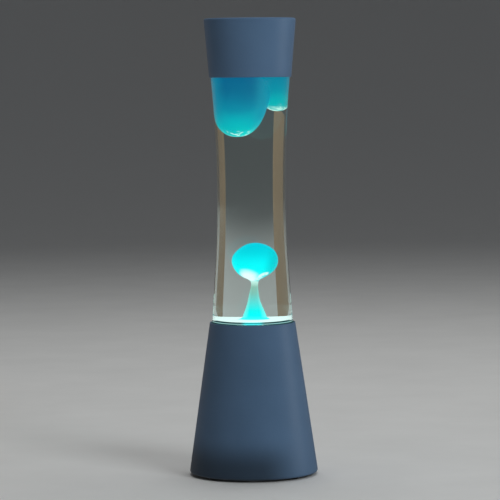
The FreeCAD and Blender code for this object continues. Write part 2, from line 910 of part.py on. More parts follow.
def make_bottom_cover():
    """The moulded disc: vents in the middle, holes for feet and screws, and two bosses for the cord clamp."""
    body = doc.addObject("PartDesign::Body", "bottom_cover_moulding")
    disc = new_sketch(body, "cover_disc", FLOOR_PLANE, size.cover_bottom)
    draw_circles(disc, [(0, 0)], size.cover_radius)
    padded(body, "cover_plate", disc, size.cover_thickness)
    bosses = new_sketch(body, "cover_boss_circles", FLOOR_PLANE, cover_top())
    draw_circles(bosses, clamp_screw_spots(), size.cover_boss_radius)
    padded(body, "cover_bosses", bosses, size.cover_boss_top - cover_top())

    under_screws = lug_screw_spots() + bracket_screw_spots() + [block_screw_spot()]
    feet = [polar(size.foot_circle, angle) for angle in FOOT_ANGLES]
    foot_hole = size.foot_stem_radius + size.foot_clearance
    boss_hole_depth = size.cover_boss_top - cover_top() + size.tapping_spare
    under, through, boss_top = size.cover_bottom, size.cover_thickness, size.cover_boss_top
    drillings = [
        ("counterbores", under_screws, size.counterbore_radius, under, size.counterbore_depth, True),
        ("screw_holes", under_screws, size.screw_hole_radius, under, through, True),
        ("foot_holes", feet, foot_hole, under, through, True),
        ("boss_holes", clamp_screw_spots(), size.small_tapped_radius, boss_top, boss_hole_depth, False),
    ]
    for name, spots, radius, start, depth, upwards in drillings:
        sketch = new_sketch(body, name + "_circles", FLOOR_PLANE, start)
        draw_circles(sketch, spots, radius)
        pocketed(body, name, sketch, depth, upwards)

    slot = new_sketch(body, "vent_slot", FLOOR_PLANE, size.cover_bottom)
    half = size.vent_width / 2
    draw_outline(slot, [
        (size.vent_inner_radius, -half),
        (size.vent_outer_radius, -half),
        (size.vent_outer_radius, half),
        (size.vent_inner_radius, half),
    ])
    first_vent = pocketed(body, "first_vent", slot, size.cover_thickness, True)
    vents = body.newObject("PartDesign::PolarPattern", "vents")
    vents.Originals = [first_vent]
    vents.Axis = (slot, ["N_Axis"])
    vents.Angle = 360
    vents.Occurrences = int(size.vent_count.number)
    bind(vents, "Occurrences", size.vent_count)
    body.Tip = vents
    return piece(body, "bottom_cover")


def make_feet():
    """Four push-in rubber feet, each with a stem and a barb that snaps over the cover."""
    for number, angle in enumerate(FOOT_ANGLES, start=1):
        barb_top = cover_top() + size.foot_barb_height
        foot = turned(f"foot_{number}_moulding", [
            (0, 0),
            (size.foot_radius - size.foot_round, 0),
            (size.foot_radius, size.foot_round, size.foot_round, "left"),
            (size.foot_radius, size.cover_bottom),
            (size.foot_stem_radius, size.cover_bottom),
            (size.foot_stem_radius, cover_top()),
            (size.foot_barb_radius, cover_top()),
            (size.foot_stem_radius, barb_top),
            (0, barb_top),
        ])
        across, rear = polar(size.foot_circle, angle)
        piece(place(foot, (across, rear, 0)), f"foot_{number}")


def screw(name, at, length, shank_radius, turn=UPRIGHT):
    """A pan-head screw with a cross recess: head down at the point, shank running up, or as turned."""
    edge = size.screw_head_round
    body = turned(name + "_blank", [
        (0, 0),
        (size.screw_head_radius - edge, 0),
        (size.screw_head_radius, edge, edge, "left"),
        (size.screw_head_radius, size.screw_head_height),
        (shank_radius, size.screw_head_height),
        (shank_radius, length - size.screw_point),
        (shank_radius - size.screw_point, length),
        (0, length),
    ])
    across, width, depth = size.recess_cutter, size.recess_width, size.recess_depth
    slots = [
        block(name + "_slot_x", across, width, depth, (-across / 2, -width / 2, 0)),
        block(name + "_slot_y", width, across, depth, (-width / 2, -across / 2, 0)),
    ]
    return place(cut(name, body, *slots), at, turn)


def make_cover_screws():
    """The screws up through the cover: three into the lugs, two into the bracket, one into the block."""
    head_seat = size.cover_bottom + size.counterbore_depth - size.screw_head_height
    lug_length = size.screw_head_height + size.cover_thickness + size.lug_thickness + size.screw_past_lug
    shank = size.screw_shank_radius
    into_lugs = [
        screw(f"cover_screw_{index}", (*at, head_seat), lug_length, shank)
        for index, at in enumerate(lug_screw_spots(), start=1)
    ]
    piece(group("cover_screw_set", into_lugs), "cover_screws")
    into_bracket = [
        screw(f"bracket_screw_{index}", (*at, head_seat), size.bracket_screw_length, shank)
        for index, at in enumerate(bracket_screw_spots(), start=1)
    ]
    piece(group("bracket_screw_set", into_bracket), "bracket_screws")
    piece(screw("block_fixing", (*block_screw_spot(), head_seat), size.block_screw_length, shank),
          "block_fixing_screw")


def make_shell_lugs():
    """Three angle brackets welded inside the shell, tapped for the cover screws and the earth screw."""
    inside = cone("shell_inside", shell_inner_radius(size.shell_bottom), shell_inner_radius(size.ledge_top),
                  size.shell_bottom, size.ledge_top)
    side = -size.lug_width / 2
    tab_reach = size.shell_foot_radius - size.lug_inner_radius
    wall_reach = size.shell_foot_radius - size.lug_wall_radius
    lugs = []
    for angle in LUG_ANGLES:
        name = f"lug_{angle}"
        turn = FreeCAD.Rotation(Z_AXIS, angle)
        tab = block(name + "_tab", tab_reach, size.lug_width, size.lug_thickness,
                    (size.lug_inner_radius, side, cover_top()))
        wall = block(name + "_wall", wall_reach, size.lug_width, size.lug_rise,
                     (size.lug_wall_radius, side, cover_top()))
        holes = [cylinder(name + "_tapping", size.tapped_radius, size.lug_rise,
                          (size.lug_screw_circle, 0, size.cover_bottom))]
        if angle == EARTH_ANGLE:
            holes.append(cylinder(name + "_earth_tapping", size.tapped_radius, size.lug_rise,
                                  (size.earth_screw_circle, 0, size.cover_bottom)))
        angle_piece = cut(name + "_drilled", fused(name + "_angle", tab, wall), *holes)
        angle_piece.Placement = FreeCAD.Placement(FreeCAD.Vector(0, 0, 0), turn)
        lugs.append(shared(name, angle_piece, inside))
    piece(group("lug_set", lugs), "shell_lugs")
    return inside


# ---------------------------------------------------------------- holder bracket and lampholder


def make_holder_bracket():
    """The steel strap, bent to a hat, that stands on the cover and carries the lampholder."""
    metal = size.bracket_sheet
    foot_top = cover_top() + metal
    under_top = size.bracket_top - metal
    inner_leg = size.bracket_leg - metal
    body = doc.addObject("PartDesign::Body", "holder_bracket_strap")
    profile = new_sketch(body, "bracket_profile", FRONT_PLANE)
    right_side = [
        (size.bracket_leg, size.bracket_top),
        (size.bracket_leg, foot_top),
        (size.bracket_reach, foot_top),
        (size.bracket_reach, cover_top()),
        (inner_leg, cover_top()),
        (inner_leg, under_top),
    ]
    left_side = [(-across, up) for across, up in reversed(right_side)]
    draw_outline(profile, right_side + left_side)
    padded(body, "bracket_strap", profile, size.bracket_width, centred=True)
    nipple_hole = new_sketch(body, "bracket_nipple_circle", FLOOR_PLANE, size.bracket_top)
    draw_circles(nipple_hole, [(0, 0)], size.nipple_radius + size.nipple_clearance)
    pocketed(body, "bracket_nipple_hole", nipple_hole, metal, False)
    tapped = new_sketch(body, "bracket_tapping_circles", FLOOR_PLANE, foot_top)
    draw_circles(tapped, bracket_screw_spots(), size.tapped_radius)
    pocketed(body, "bracket_tappings", tapped, metal, False)
    return piece(body, "holder_bracket")


def ribbed_wall(low, high, valley, crest):
    """Corners, going up, of a wall that swings between a valley and a crest radius once each thread pitch."""
    turns = int((high.number - low.number) / size.thread_pitch.number)
    quarter = size.thread_pitch / 4
    corners = []
    for turn in range(turns):
        start = low + size.thread_pitch * turn
        for step, radius in enumerate((valley, crest, crest, valley), start=1):
            corners.append((radius, start + quarter * step))
    return corners


def make_lampholder():
    """The moulded holder on its nipple, with the threaded sleeve, centre contact and two terminals inside."""
    neck, chamfer, edge = size.holder_neck_radius, size.holder_chamfer, size.holder_edge_round
    piece(turned("lampholder_moulding", [
        (size.nipple_radius + size.nipple_clearance, size.bracket_top),
        (neck - chamfer, size.bracket_top),
        (neck, size.bracket_top + chamfer),
        (neck, size.holder_flare_bottom),
        (size.holder_radius, size.holder_flare_top),
        (size.holder_radius, size.holder_top - edge),
        (size.holder_radius - edge, size.holder_top, edge, "left"),
        (size.holder_bore, size.holder_top),
        (size.holder_bore, size.holder_seat),
        (0, size.holder_seat),
        (0, size.holder_chamber_top),
        (size.holder_chamber_radius, size.holder_chamber_top),
        (size.holder_chamber_radius, size.holder_floor),
        (size.nipple_radius + size.nipple_clearance, size.holder_floor),
    ]), "lampholder_body")

    outer, crest, metal = size.sleeve_radius, size.sleeve_crest_radius, size.sleeve_wall
    ribs = ribbed_wall(size.holder_seat + size.sleeve_plain, size.sleeve_top, outer, crest)
    inner_path = [(outer, size.holder_seat)] + ribs + [(outer, size.sleeve_top)]
    outer_path = [(across + metal, up) for across, up in reversed(inner_path)]
    piece(turned("sleeve_rolled", inner_path + outer_path), "lampholder_sleeve")

    seat, reach, metal = size.holder_seat, size.contact_reach, size.contact_sheet
    body = doc.addObject("PartDesign::Body", "centre_contact_leaf")
    profile = new_sketch(body, "contact_profile", FRONT_PLANE)
    draw_outline(profile, [
        (reach, seat),
        (reach, seat + metal),
        (-size.contact_slope_start, seat + metal),
        (-size.contact_pad, size.tip_height - metal),
        (size.contact_pad, size.tip_height - metal),
        (size.contact_pad, size.tip_height),
        (-size.contact_pad, size.tip_height),
        (-reach, seat + metal),
        (-reach, seat),
    ])
    padded(body, "contact_strip", profile, size.contact_half_width * 2, centred=True)
    piece(body, "centre_contact")

    nipple_top = size.holder_floor
    tube = cylinder("nipple_outside", size.nipple_radius, nipple_top - size.nipple_bottom,
                    (0, 0, size.nipple_bottom))
    bore = cylinder("nipple_inside", size.nipple_bore, nipple_top, (0, 0, 0))
    piece(cut("nipple_tube", tube, bore), "holder_nipple")

    nut_bottom = size.bracket_top - size.bracket_sheet - size.nut_height
    hexagon = doc.addObject("Part::Prism", "nut_hexagon")
    hexagon.Polygon = 6
    bind(hexagon, "Circumradius", size.nut_corner_radius)
    bind(hexagon, "Height", size.nut_height)
    place(hexagon, (0, 0, nut_bottom))
    nut_bore = cylinder("nut_bore", size.nipple_radius + size.nipple_clearance, nipple_top, (0, 0, 0))
    piece(cut("nut_drilled", hexagon, nut_bore), "nipple_nut")

    side, height = size.holder_terminal_side, size.holder_terminal_height
    drill_depth = size.holder_terminal_drill
    low = size.holder_chamber_top - height
    terminals = []
    for way, across in (("left", -size.holder_terminal_across), ("right", size.holder_terminal_across)):
        name = f"holder_terminal_{way}"
        solid = block(name + "_bar", side, side, height, (across - side / 2, -side / 2, low))
        drill = cylinder(name + "_bore", size.holder_terminal_bore, drill_depth, (across, 0, low))
        terminals.append(cut(name, solid, drill))
    piece(group("holder_terminal_pair", terminals), "holder_terminals")


# ---------------------------------------------------------------- bulb


def make_bulb():
    """A small-screw reflector bulb, standing on its tip in the holder."""
    tip_top = size.tip_height + size.tip_depth
    piece(turned("bulb_tip_solder", [
        (0, size.tip_height),
        (size.tip_radius - size.tip_round, size.tip_height),
        (size.tip_radius, tip_top - size.tip_edge, size.tip_round, "left"),
        (size.tip_radius, tip_top),
        (0, tip_top),
    ]), "bulb_contact")

    piece(turned("bulb_insulator_cone", [
        (0, tip_top),
        (size.insulator_foot_radius, tip_top),
        (size.insulator_radius, size.insulator_top),
        (0, size.insulator_top),
    ]), "bulb_insulator")

    root, crest, metal = size.bulb_cap_root, size.bulb_cap_crest, size.bulb_cap_wall
    collar_low = size.bulb_cap_top - size.bulb_collar_height
    ribs = ribbed_wall(size.insulator_top + size.bulb_cap_plain, collar_low, root, crest)
    outside = [(root, size.insulator_top)] + ribs + [
        (root, collar_low),
        (size.bulb_collar_radius, collar_low + size.bulb_collar_flare),
        (size.bulb_collar_radius, size.bulb_cap_top),
    ]
    inside = [
        (size.bulb_collar_radius - metal, size.bulb_cap_top),
        (root - metal, collar_low + metal),
        (root - metal, size.insulator_top),
    ]
    piece(turned("bulb_cap_shell", outside + inside), "bulb_cap")

    wall = size.bulb_glass_wall
    glass_low = size.bulb_glass_low
    shoulder = size.bulb_shoulder_curve
    face_curve = dome_radius(size.bulb_face_radius, size.bulb_face_top - size.bulb_face_height)
    piece(turned("bulb_envelope", [
        (size.bulb_neck_radius, glass_low),
        (size.bulb_neck_radius, size.bulb_neck_top),
        (size.bulb_throat_radius, size.bulb_throat_height),
        (size.bulb_flank_radius, size.bulb_flank_height),
        (size.bulb_belly_radius, size.bulb_belly_height),
        (size.bulb_shoulder_foot_radius, size.bulb_shoulder_foot),
        (size.bulb_face_radius, size.bulb_face_height, shoulder, "left"),
        (0, size.bulb_face_top, face_curve, "left"),
        (0, size.bulb_face_top - wall),
        (size.bulb_face_radius, size.bulb_face_height - wall, face_curve, "right"),
        (size.bulb_shoulder_foot_radius - wall, size.bulb_shoulder_foot, shoulder - wall, "right"),
        (size.bulb_belly_radius - wall, size.bulb_belly_height),
        (size.bulb_flank_radius - wall, size.bulb_flank_height),
        (size.bulb_throat_radius - wall, size.bulb_throat_height),
        (size.bulb_neck_radius - wall, size.bulb_neck_top),
        (size.bulb_neck_radius - wall, glass_low),
    ]), "bulb_glass")

    lead_foot = size.lead_foot_across
    stem_length = size.stem_glass_top - glass_low
    stem = cylinder("bulb_stem_rod", size.stem_glass_radius, stem_length, (0, 0, glass_low))
    channels = [
        cylinder(f"bulb_stem_channel_{index}", size.lead_radius, size.stem_glass_top, (across, 0, 0))
        for index, across in enumerate((-lead_foot, lead_foot))
    ]
    piece(cut("bulb_stem_glass", stem, *channels), "bulb_stem")

    leads = []
    lead_knee = size.stem_glass_top + size.lead_rise
    lead_tip = size.filament_height - size.lead_tip_gap
    for name, way in (("left", -1), ("right", 1)):
        points = [
            spot(lead_foot * way, 0, glass_low),
            spot(lead_foot * way, 0, lead_knee),
            spot(size.lead_tip_across * way, 0, lead_tip),
        ]
        leads.append(route(f"bulb_lead_{name}", points, size.lead_radius))
    piece(group("bulb_lead_pair", leads), "bulb_leads")

    piece(cylinder("filament_coil", size.filament_radius, size.filament_half_length * 2,
                   (-size.filament_half_length, 0, size.filament_height), ALONG_X), "bulb_filament")


# ---------------------------------------------------------------- wiring, grommet and cord clamp

ARC_SHARE = 0.45


def spot(across, rear, up):
    """A point from three sizes or numbers."""
    return FreeCAD.Vector(*[as_size(value).number for value in (across, rear, up)])


def route(name, points, wire_radius):
    """A round wire of one radius along straight runs joined by tangent arcs."""
    radius = wire_radius.number
    edges = []
    start = points[0]
    length = 0.0
    for index in range(1, len(points) - 1):
        corner = points[index]
        before = corner - points[index - 1]
        after = points[index + 1] - corner
        turn = before.getAngle(after)
        bend = ARC_SHARE * min(before.Length, after.Length) / math.tan(turn / 2)
        back = bend * math.tan(turn / 2)
        before.normalize()
        after.normalize()
        arc_start = corner - before * back
        arc_end = corner + after * back
        towards_centre = after - before
        towards_centre.normalize()
        centre = corner + towards_centre * (bend / math.cos(turn / 2))
        middle = centre - towards_centre * bend
        edges.append(Part.LineSegment(start, arc_start).toShape())
        edges.append(Part.Arc(arc_start, middle, arc_end).toShape())
        length += (arc_start - start).Length + bend * turn
        start = arc_end
        print(f"{name}: bend radius {bend:.1f} mm, turn {math.degrees(turn):.0f} degrees")
    edges.append(Part.LineSegment(start, points[-1]).toShape())
    length += (points[-1] - start).Length
    path = Part.Wire(edges)
    first_run = points[1] - points[0]
    ring = Part.Wire([Part.makeCircle(radius, points[0], first_run)])
    tube = path.makePipeShell([ring], True, True)
    expected = math.pi * radius**2 * length
    if abs(tube.Volume / expected - 1) > 0.01:
        raise RuntimeError(f"{name} has volume {tube.Volume:.2f}, not {expected:.2f}")
    made = doc.addObject("Part::Feature", name)
    made.Shape = tube
    made.Placement = FreeCAD.Placement()
    return made


def make_terminal_block():
    """The three-way block: nylon barrels, brass tubes along Y, and a clamping screw at each tube end."""
    pitch, length, up = size.block_pitch, size.block_length, size.tube_height
    front = size.block_back - length
    base_height = up - cover_top()
    web_width = pitch * 2 + size.block_barrel_radius * 2
    solids = [block("block_web", web_width, length, base_height, (-web_width / 2, front, cover_top()))]
    hollows = []
    tubes = []
    screws = []
    screw_rows = (front + size.block_screw_inset, size.block_back - size.block_screw_inset)
    screw_low = size.block_screw_low
    screw_length = size.block_top - size.block_screw_depth - screw_low
    screw_radius = size.block_screw_radius
    hole_radius = size.tube_radius + size.tube_clearance
    brass_length = length - size.tube_end_gap * 2
    chimney = size.block_top - up
    for index in range(3):
        across = pitch * (index - 1)
        way = f"way_{index + 1}"
        start = (across, front, up)
        brass_start = (across, front + size.tube_end_gap, up)
        solids.append(cylinder(f"block_{way}_barrel", size.block_barrel_radius, length, start, ALONG_Y))
        hollows.append(cylinder(f"block_{way}_hole", hole_radius, length, start, ALONG_Y))
        brass = cylinder(f"tube_{way}_brass", size.tube_radius, brass_length, brass_start, ALONG_Y)
        bore = cylinder(f"tube_{way}_bore", size.tube_bore, length, start, ALONG_Y)
        tappings = []
        for end, rear in enumerate(screw_rows, start=1):
            foot = (across, rear, up)
            drillings = (
                (solids, f"block_{way}_chimney_{end}", screw_radius + size.chimney_wall),
                (hollows, f"block_{way}_well_{end}", screw_radius + size.well_clearance),
                (tappings, f"tube_{way}_tapping_{end}", screw_radius + size.tapping_clearance),
            )
            for made, name, radius in drillings:
                made.append(cylinder(name, radius, chimney, foot))
            screw_foot = (across, rear, screw_low)
            screws.append(cylinder(f"tube_screw_{way}_{end}", screw_radius, screw_length, screw_foot))
        tubes.append(cut(f"tube_{way}", brass, bore, *tappings))
    fixing_foot = (*block_screw_spot(), cover_top())
    hollows.append(cylinder("block_fixing_hole", size.tapped_radius, base_height, fixing_foot))
    piece(cut("block_moulding", fused("block_solid", *solids), *hollows), "terminal_block")
    piece(group("block_tube_set", tubes), "terminal_tubes")
    piece(group("block_screw_set", screws), "terminal_screws")


def make_wires():
    """Live and neutral run from the block up through the nipple to the holder's terminals."""
    front = size.block_back - size.block_length
    up = size.tube_height
    terminal_up = size.holder_chamber_top - size.holder_terminal_height
    for name, way, block_across in (("wire_neutral", -1, -size.block_pitch), ("wire_live", 1, 0)):
        nipple_across = size.nipple_wire_across * way
        terminal_across = size.holder_terminal_across * way
        points = [
            spot(block_across, front + size.wire_grip, up),
            spot(block_across, front - size.wire_lead_out, up),
            spot(nipple_across, 0, up),
            spot(nipple_across, 0, up + size.wire_climb),
            spot(terminal_across, 0, terminal_up - size.wire_flare),
            spot(terminal_across, 0, terminal_up + size.wire_in_terminal),
        ]
        piece(route(name + "_route", points, size.wire_radius), name)


def make_earth():
    """The earth wire, its crimped ring tag, and the screw that holds the tag on the lug."""
    tag_across, tag_rear = polar(size.earth_screw_circle, EARTH_ANGLE)
    lug_top = cover_top() + size.lug_thickness
    barrel_up = size.earth_barrel_radius + size.earth_barrel_lift
    wire_up = lug_top + barrel_up
    front = size.block_back - size.block_length
    tag_centre = spot(tag_across, tag_rear, wire_up)
    approach = spot(size.earth_approach_across, size.earth_approach_rear, wire_up)
    way = tag_centre - approach
    way.normalize()
    points = [
        spot(size.block_pitch, front + size.wire_grip, size.tube_height),
        spot(size.block_pitch, front - size.wire_lead_out, size.tube_height),
        spot(size.earth_turn_across, size.earth_turn_rear, (size.tube_height + wire_up) / 2),
        approach,
        tag_centre - way * size.earth_wire_stop.number,
    ]
    piece(route("wire_earth_route", points, size.wire_radius), "wire_earth")

    sheet_metal, tongue_width = size.earth_tag_sheet, size.earth_tongue_width
    barrel_start, barrel_length = (-size.earth_barrel_reach, 0, barrel_up), size.earth_barrel_length
    ring = cylinder("tag_ring", size.earth_tag_radius, sheet_metal)
    tongue = block("tag_tongue", size.earth_tongue_length, tongue_width, sheet_metal,
                   (-size.earth_tongue_reach, -tongue_width / 2, 0))
    barrel = cylinder("tag_barrel", size.earth_barrel_radius, barrel_length, barrel_start, ALONG_X)
    barrel_bore = cylinder("tag_barrel_bore", size.earth_barrel_bore, barrel_length, barrel_start, ALONG_X)
    hole = cylinder("tag_hole", size.screw_hole_radius, sheet_metal)
    turn = FreeCAD.Rotation(Z_AXIS, math.degrees(math.atan2(way.y, way.x)))
    tag = cut("earth_tag_pressed", fused("tag_solid", ring, tongue, barrel), barrel_bore, hole)
    piece(place(tag, (tag_across, tag_rear, lug_top), turn), "earth_tag")

    head_top = lug_top + sheet_metal + size.screw_head_height
    length = head_top - cover_top() - size.earth_screw_recess
    head_spot = (tag_across, tag_rear, head_top)
    fixing = screw("earth_fixing", head_spot, length, size.screw_shank_radius, UPSIDE_DOWN)
    piece(fixing, "earth_screw")


def make_grommet(inside):
    """The rubber bushing in the shell's rear hole, with a flange that follows the cone on each side."""
    length = size.grommet_outside - size.grommet_inside
    start = (0, size.grommet_inside, size.cable_height)
    outside = cone("shell_outside", shell_radius(size.shell_bottom), size.shell_rim_radius,
                   size.shell_bottom, size.shell_rim_height)
    outer_disc = cylinder("grommet_outer_disc", size.grommet_flange, length, start, ALONG_Y)
    outer_flange = cut("grommet_outer_flange", outer_disc, outside)
    inner_disc = cylinder("grommet_inner_disc", size.grommet_flange, length, start, ALONG_Y)
    inner_flange = shared("grommet_inner_flange", inner_disc, inside)
    neck = cylinder("grommet_neck", size.grommet_neck, length, start, ALONG_Y)
    bore = cylinder("grommet_bore", size.cable_bore, length, start, ALONG_Y)
    solid = fused("grommet_solid", outer_flange, inner_flange, neck)
    piece(cut("grommet_moulding", solid, bore), "cable_grommet")


def make_cord_clamp():
    """The bent strap over the cord's path, screwed to the cover's two bosses."""
    metal = size.clamp_sheet
    low = size.cover_boss_top
    inner = size.cable_bore
    outer = inner + metal
    middle = size.cable_height
    flange_top = low + metal
    body = doc.addObject("PartDesign::Body", "cord_clamp_strap")
    profile = new_sketch(body, "clamp_profile", FRONT_PLANE, -size.clamp_rear)
    draw_outline(profile, [
        (-size.clamp_reach, low),
        (-inner, low),
        (-inner, middle),
        (0, middle + inner, inner, "right"),
        (inner, middle, inner, "right"),
        (inner, low),
        (size.clamp_reach, low),
        (size.clamp_reach, flange_top),
        (outer, flange_top),
        (outer, middle),
        (0, middle + outer, outer, "left"),
        (-outer, middle, outer, "left"),
        (-outer, flange_top),
        (-size.clamp_reach, flange_top),
    ])
    padded(body, "clamp_strap", profile, size.clamp_width, centred=True)
    holes = new_sketch(body, "clamp_hole_circles", FLOOR_PLANE, flange_top)
    draw_circles(holes, clamp_screw_spots(), size.screw_hole_radius)
    pocketed(body, "clamp_holes", holes, metal, False)
    piece(body, "cord_clamp")

    head_top = flange_top + size.screw_head_height
    length = head_top - cover_top()
    screws = [
        screw(f"clamp_screw_{index}", (*at, head_top), length, size.small_shank_radius, UPSIDE_DOWN)
        for index, at in enumerate(clamp_screw_spots(), start=1)
    ]
    piece(group("clamp_screw_set", screws), "cord_clamp_screws")


# ---------------------------------------------------------------- the lamp

make_base_shell()
make_seat_gasket()
make_bottle_glass()
make_contents()
make_cap(make_closure())
make_bottom_cover()
make_feet()
make_cover_screws()
shell_inside = make_shell_lugs()
make_holder_bracket()
make_lampholder()
make_bulb()
make_terminal_block()
make_wires()
make_earth()
make_grommet(shell_inside)
make_cord_clamp()
doc.recompute()

for thing in doc.Objects:
    if "Invalid" in thing.State or "Error" in thing.State:
        raise RuntimeError(f"{thing.Name} is {thing.State}")
for made in pieces:
    if made.Shape.isNull() or not made.Shape.isValid():
        raise RuntimeError(f"{made.Label} has no valid shape")
for made in pieces:
    made.Shape.exportStep(f"parts/{made.Label}.step")
print(len(pieces), "sub-parts")
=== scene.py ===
import math

import bmesh
import bpy
from mathutils import Matrix, Vector


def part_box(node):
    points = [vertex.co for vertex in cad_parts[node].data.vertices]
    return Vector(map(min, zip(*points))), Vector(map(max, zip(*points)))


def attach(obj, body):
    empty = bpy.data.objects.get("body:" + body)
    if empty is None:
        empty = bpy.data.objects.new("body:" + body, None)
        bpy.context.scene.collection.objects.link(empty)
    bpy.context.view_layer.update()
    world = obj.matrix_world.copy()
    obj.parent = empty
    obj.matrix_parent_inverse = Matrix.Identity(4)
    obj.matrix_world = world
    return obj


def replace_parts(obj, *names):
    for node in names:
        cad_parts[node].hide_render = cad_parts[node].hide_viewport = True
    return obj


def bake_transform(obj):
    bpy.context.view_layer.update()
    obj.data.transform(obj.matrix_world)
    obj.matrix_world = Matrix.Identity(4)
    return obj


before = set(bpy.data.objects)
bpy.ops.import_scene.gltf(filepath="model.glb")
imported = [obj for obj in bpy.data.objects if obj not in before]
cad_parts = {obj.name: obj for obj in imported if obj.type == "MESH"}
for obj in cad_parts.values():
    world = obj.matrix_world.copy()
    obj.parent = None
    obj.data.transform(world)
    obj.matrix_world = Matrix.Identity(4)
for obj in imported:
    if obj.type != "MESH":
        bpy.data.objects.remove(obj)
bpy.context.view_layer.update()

# The looks of a waisted glass lava lamp: a cone base, a sealed bottle of liquid and wax, and a cap.
# Sizes are in millimetres until a mesh is made. The lamp stands on the floor at the origin, +Z is up.
# A place in a section is (radius, height). Materials read the object's own space, so theirs are in metres.

MM = 0.001
TURN = math.tau

# ---------------------------------------------------------------- sizes shared by several pieces


def heights(node):
    """Where a CAD node starts and ends above the floor, in millimetres."""
    low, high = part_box(node)
    return round(low.z / MM, 2), round(high.z / MM, 2)


SHELL_BOTTOM, SHELL_TOP = heights("base_shell")
SHELL_FOOT = (55.8, SHELL_BOTTOM)
SHELL_RIM = (37.1, SHELL_TOP)
LEDGE, LIP_TOP = heights("seat_gasket")

HEEL, MOUTH = heights("bottle_glass")
HEEL_RADIUS = 35.2
PUNT_RADIUS = 24.0
FLANK = (31.55, 185.0)
WAIST = (29.45, 244.0)
SHOULDER = (34.3, 345.0)
LOWER_CURVE = 830.0
UPPER_CURVE = 1033.0
SHOULDER_ROUND = 14.0
THROAT_ROUND = 7.9
GLASS_WALL = 2.6
FLOOR_EDGE = (32.16, 132.6)

BOTTLE_FLOOR = heights("wax_pool")[0]
POOL_TOP, LIQUID_TOP = heights("liquid")
WAX_GAP = 0.3
STEM_AXIS = 1.4
BLOB_AXIS = 1.9

CAP_BOTTOM, CAP_TOP = heights("cap_shell")
CAP_RIM = (35.5, CAP_BOTTOM)
CAP_CROWN = (39.8, CAP_TOP)
CAP_WALL = 1.0

# ---------------------------------------------------------------- outlines and turned meshes

ARC_STEP = math.radians(7)
ARC_RUN = 4.0
AROUND = 160
SHARP = math.radians(38)


def arc(start, end, radius, side):
    """Points after start and up to end, on the short arc whose centre lies to that side of the way there."""
    start, end = Vector(start), Vector(end)
    chord = end - start
    across = Vector((-chord.y, chord.x)).normalized()
    if side == "right":
        across.negate()
    reach = math.sqrt(max(radius**2 - (chord.length / 2) ** 2, 0))
    centre = (start + end) / 2 + across * reach
    first = math.atan2(start.y - centre.y, start.x - centre.x)
    last = math.atan2(end.y - centre.y, end.x - centre.x)
    sweep = (last - first + math.pi) % TURN - math.pi
    steps = max(2, math.ceil(abs(sweep) / ARC_STEP), math.ceil(chord.length / ARC_RUN))
    angles = [first + sweep * step / steps for step in range(1, steps)]
    return [(centre.x + radius * math.cos(a), centre.y + radius * math.sin(a)) for a in angles] + [tuple(end)]


def outline(corners):
    """Half of a section: a corner is (across, up), or (across, up, radius, side) where an arc leads to it."""
    points = [tuple(corners[0][:2])]
    for corner in corners[1:]:
        if len(corner) == 4:
            points += arc(points[-1], corner[:2], corner[2], corner[3])
        else:
            points.append(tuple(corner))
    return points


def backwards(start, path):
    """The same run of corners walked from its last corner to the start."""
    other = {"left": "right", "right": "left"}
    whole = [start] + path
    back = []
    for index in range(len(whole) - 1, 0, -1):
        bend = whole[index][2:]
        spot = tuple(whole[index - 1][:2])
        back.append(spot + ((bend[0], other[bend[1]]) if bend else ()))
    return back


def finer(points, run):
    """The same outline with no run longer than given."""
    out = [points[0]]
    for low, high in zip(points, points[1:]):
        count = max(1, math.ceil(math.dist(low, high) / run))
        out += [tuple(a + (b - a) * step / count for a, b in zip(low, high)) for step in range(1, count + 1)]
    return out


def as_piece(name, mesh):
    """An object of a mesh or curve, put into the scene at the origin."""
    made = bpy.data.objects.new(name, mesh)
    bpy.context.scene.collection.objects.link(made)
    return made


def settle(name, work, sharp=SHARP):
    """Turns a bmesh in millimetres into a smooth-shaded piece in metres."""
    bmesh.ops.recalc_face_normals(work, faces=work.faces)
    mesh = bpy.data.meshes.new(name)
    work.to_mesh(mesh)
    work.free()
    mesh.transform(Matrix.Scale(MM, 4))
    mesh.shade_smooth()
    mesh.set_sharp_from_angle(angle=sharp)
    return as_piece(name, mesh)


def lathe(name, points, around=AROUND, centre=(0, 0), warp=None, sharp=SHARP):
    """Turns an outline about an upright axis. warp(radius, up, angle) may give another radius and height."""
    work = bmesh.new()
    rings = []
    for radius, up in points:
        spots = 1 if radius < 1e-6 else around
        ring = []
        for step in range(spots):
            angle = TURN * step / around
            reach, height = warp(radius, up, angle) if warp and spots > 1 else (radius, up)
            where = (centre[0] + reach * math.cos(angle), centre[1] + reach * math.sin(angle), height)
            ring.append(work.verts.new(where))
        rings.append(ring)
    pairs = list(zip(rings, rings[1:]))
    if len(rings[0]) > 1 and len(rings[-1]) > 1:
        pairs.append((rings[-1], rings[0]))
    for low, high in pairs:
        for step in range(around):
            after = (step + 1) % around
            lower = [low[step % len(low)], low[after % len(low)]]
            quad = lower + [high[after % len(high)], high[step % len(high)]]
            corners = [v for index, v in enumerate(quad) if v not in quad[:index]]
            if len(corners) > 2:
                work.faces.new(corners)
    return settle(name, work, sharp)


def cut_away(base, tool):
    """Cuts another piece's shape out of a piece, and removes the other."""
    step = base.modifiers.new("cut", "BOOLEAN")
    step.operation = "DIFFERENCE"
    step.solver = "EXACT"
    step.object = tool
    bpy.context.view_layer.update()
    seen = base.evaluated_get(bpy.context.evaluated_depsgraph_get())
    mesh = bpy.data.meshes.new_from_object(seen)
    mesh.name = base.name
    base.modifiers.clear()
    base.data = mesh
    bpy.data.objects.remove(tool)
    mesh.shade_smooth()
    mesh.set_sharp_from_angle(angle=SHARP)


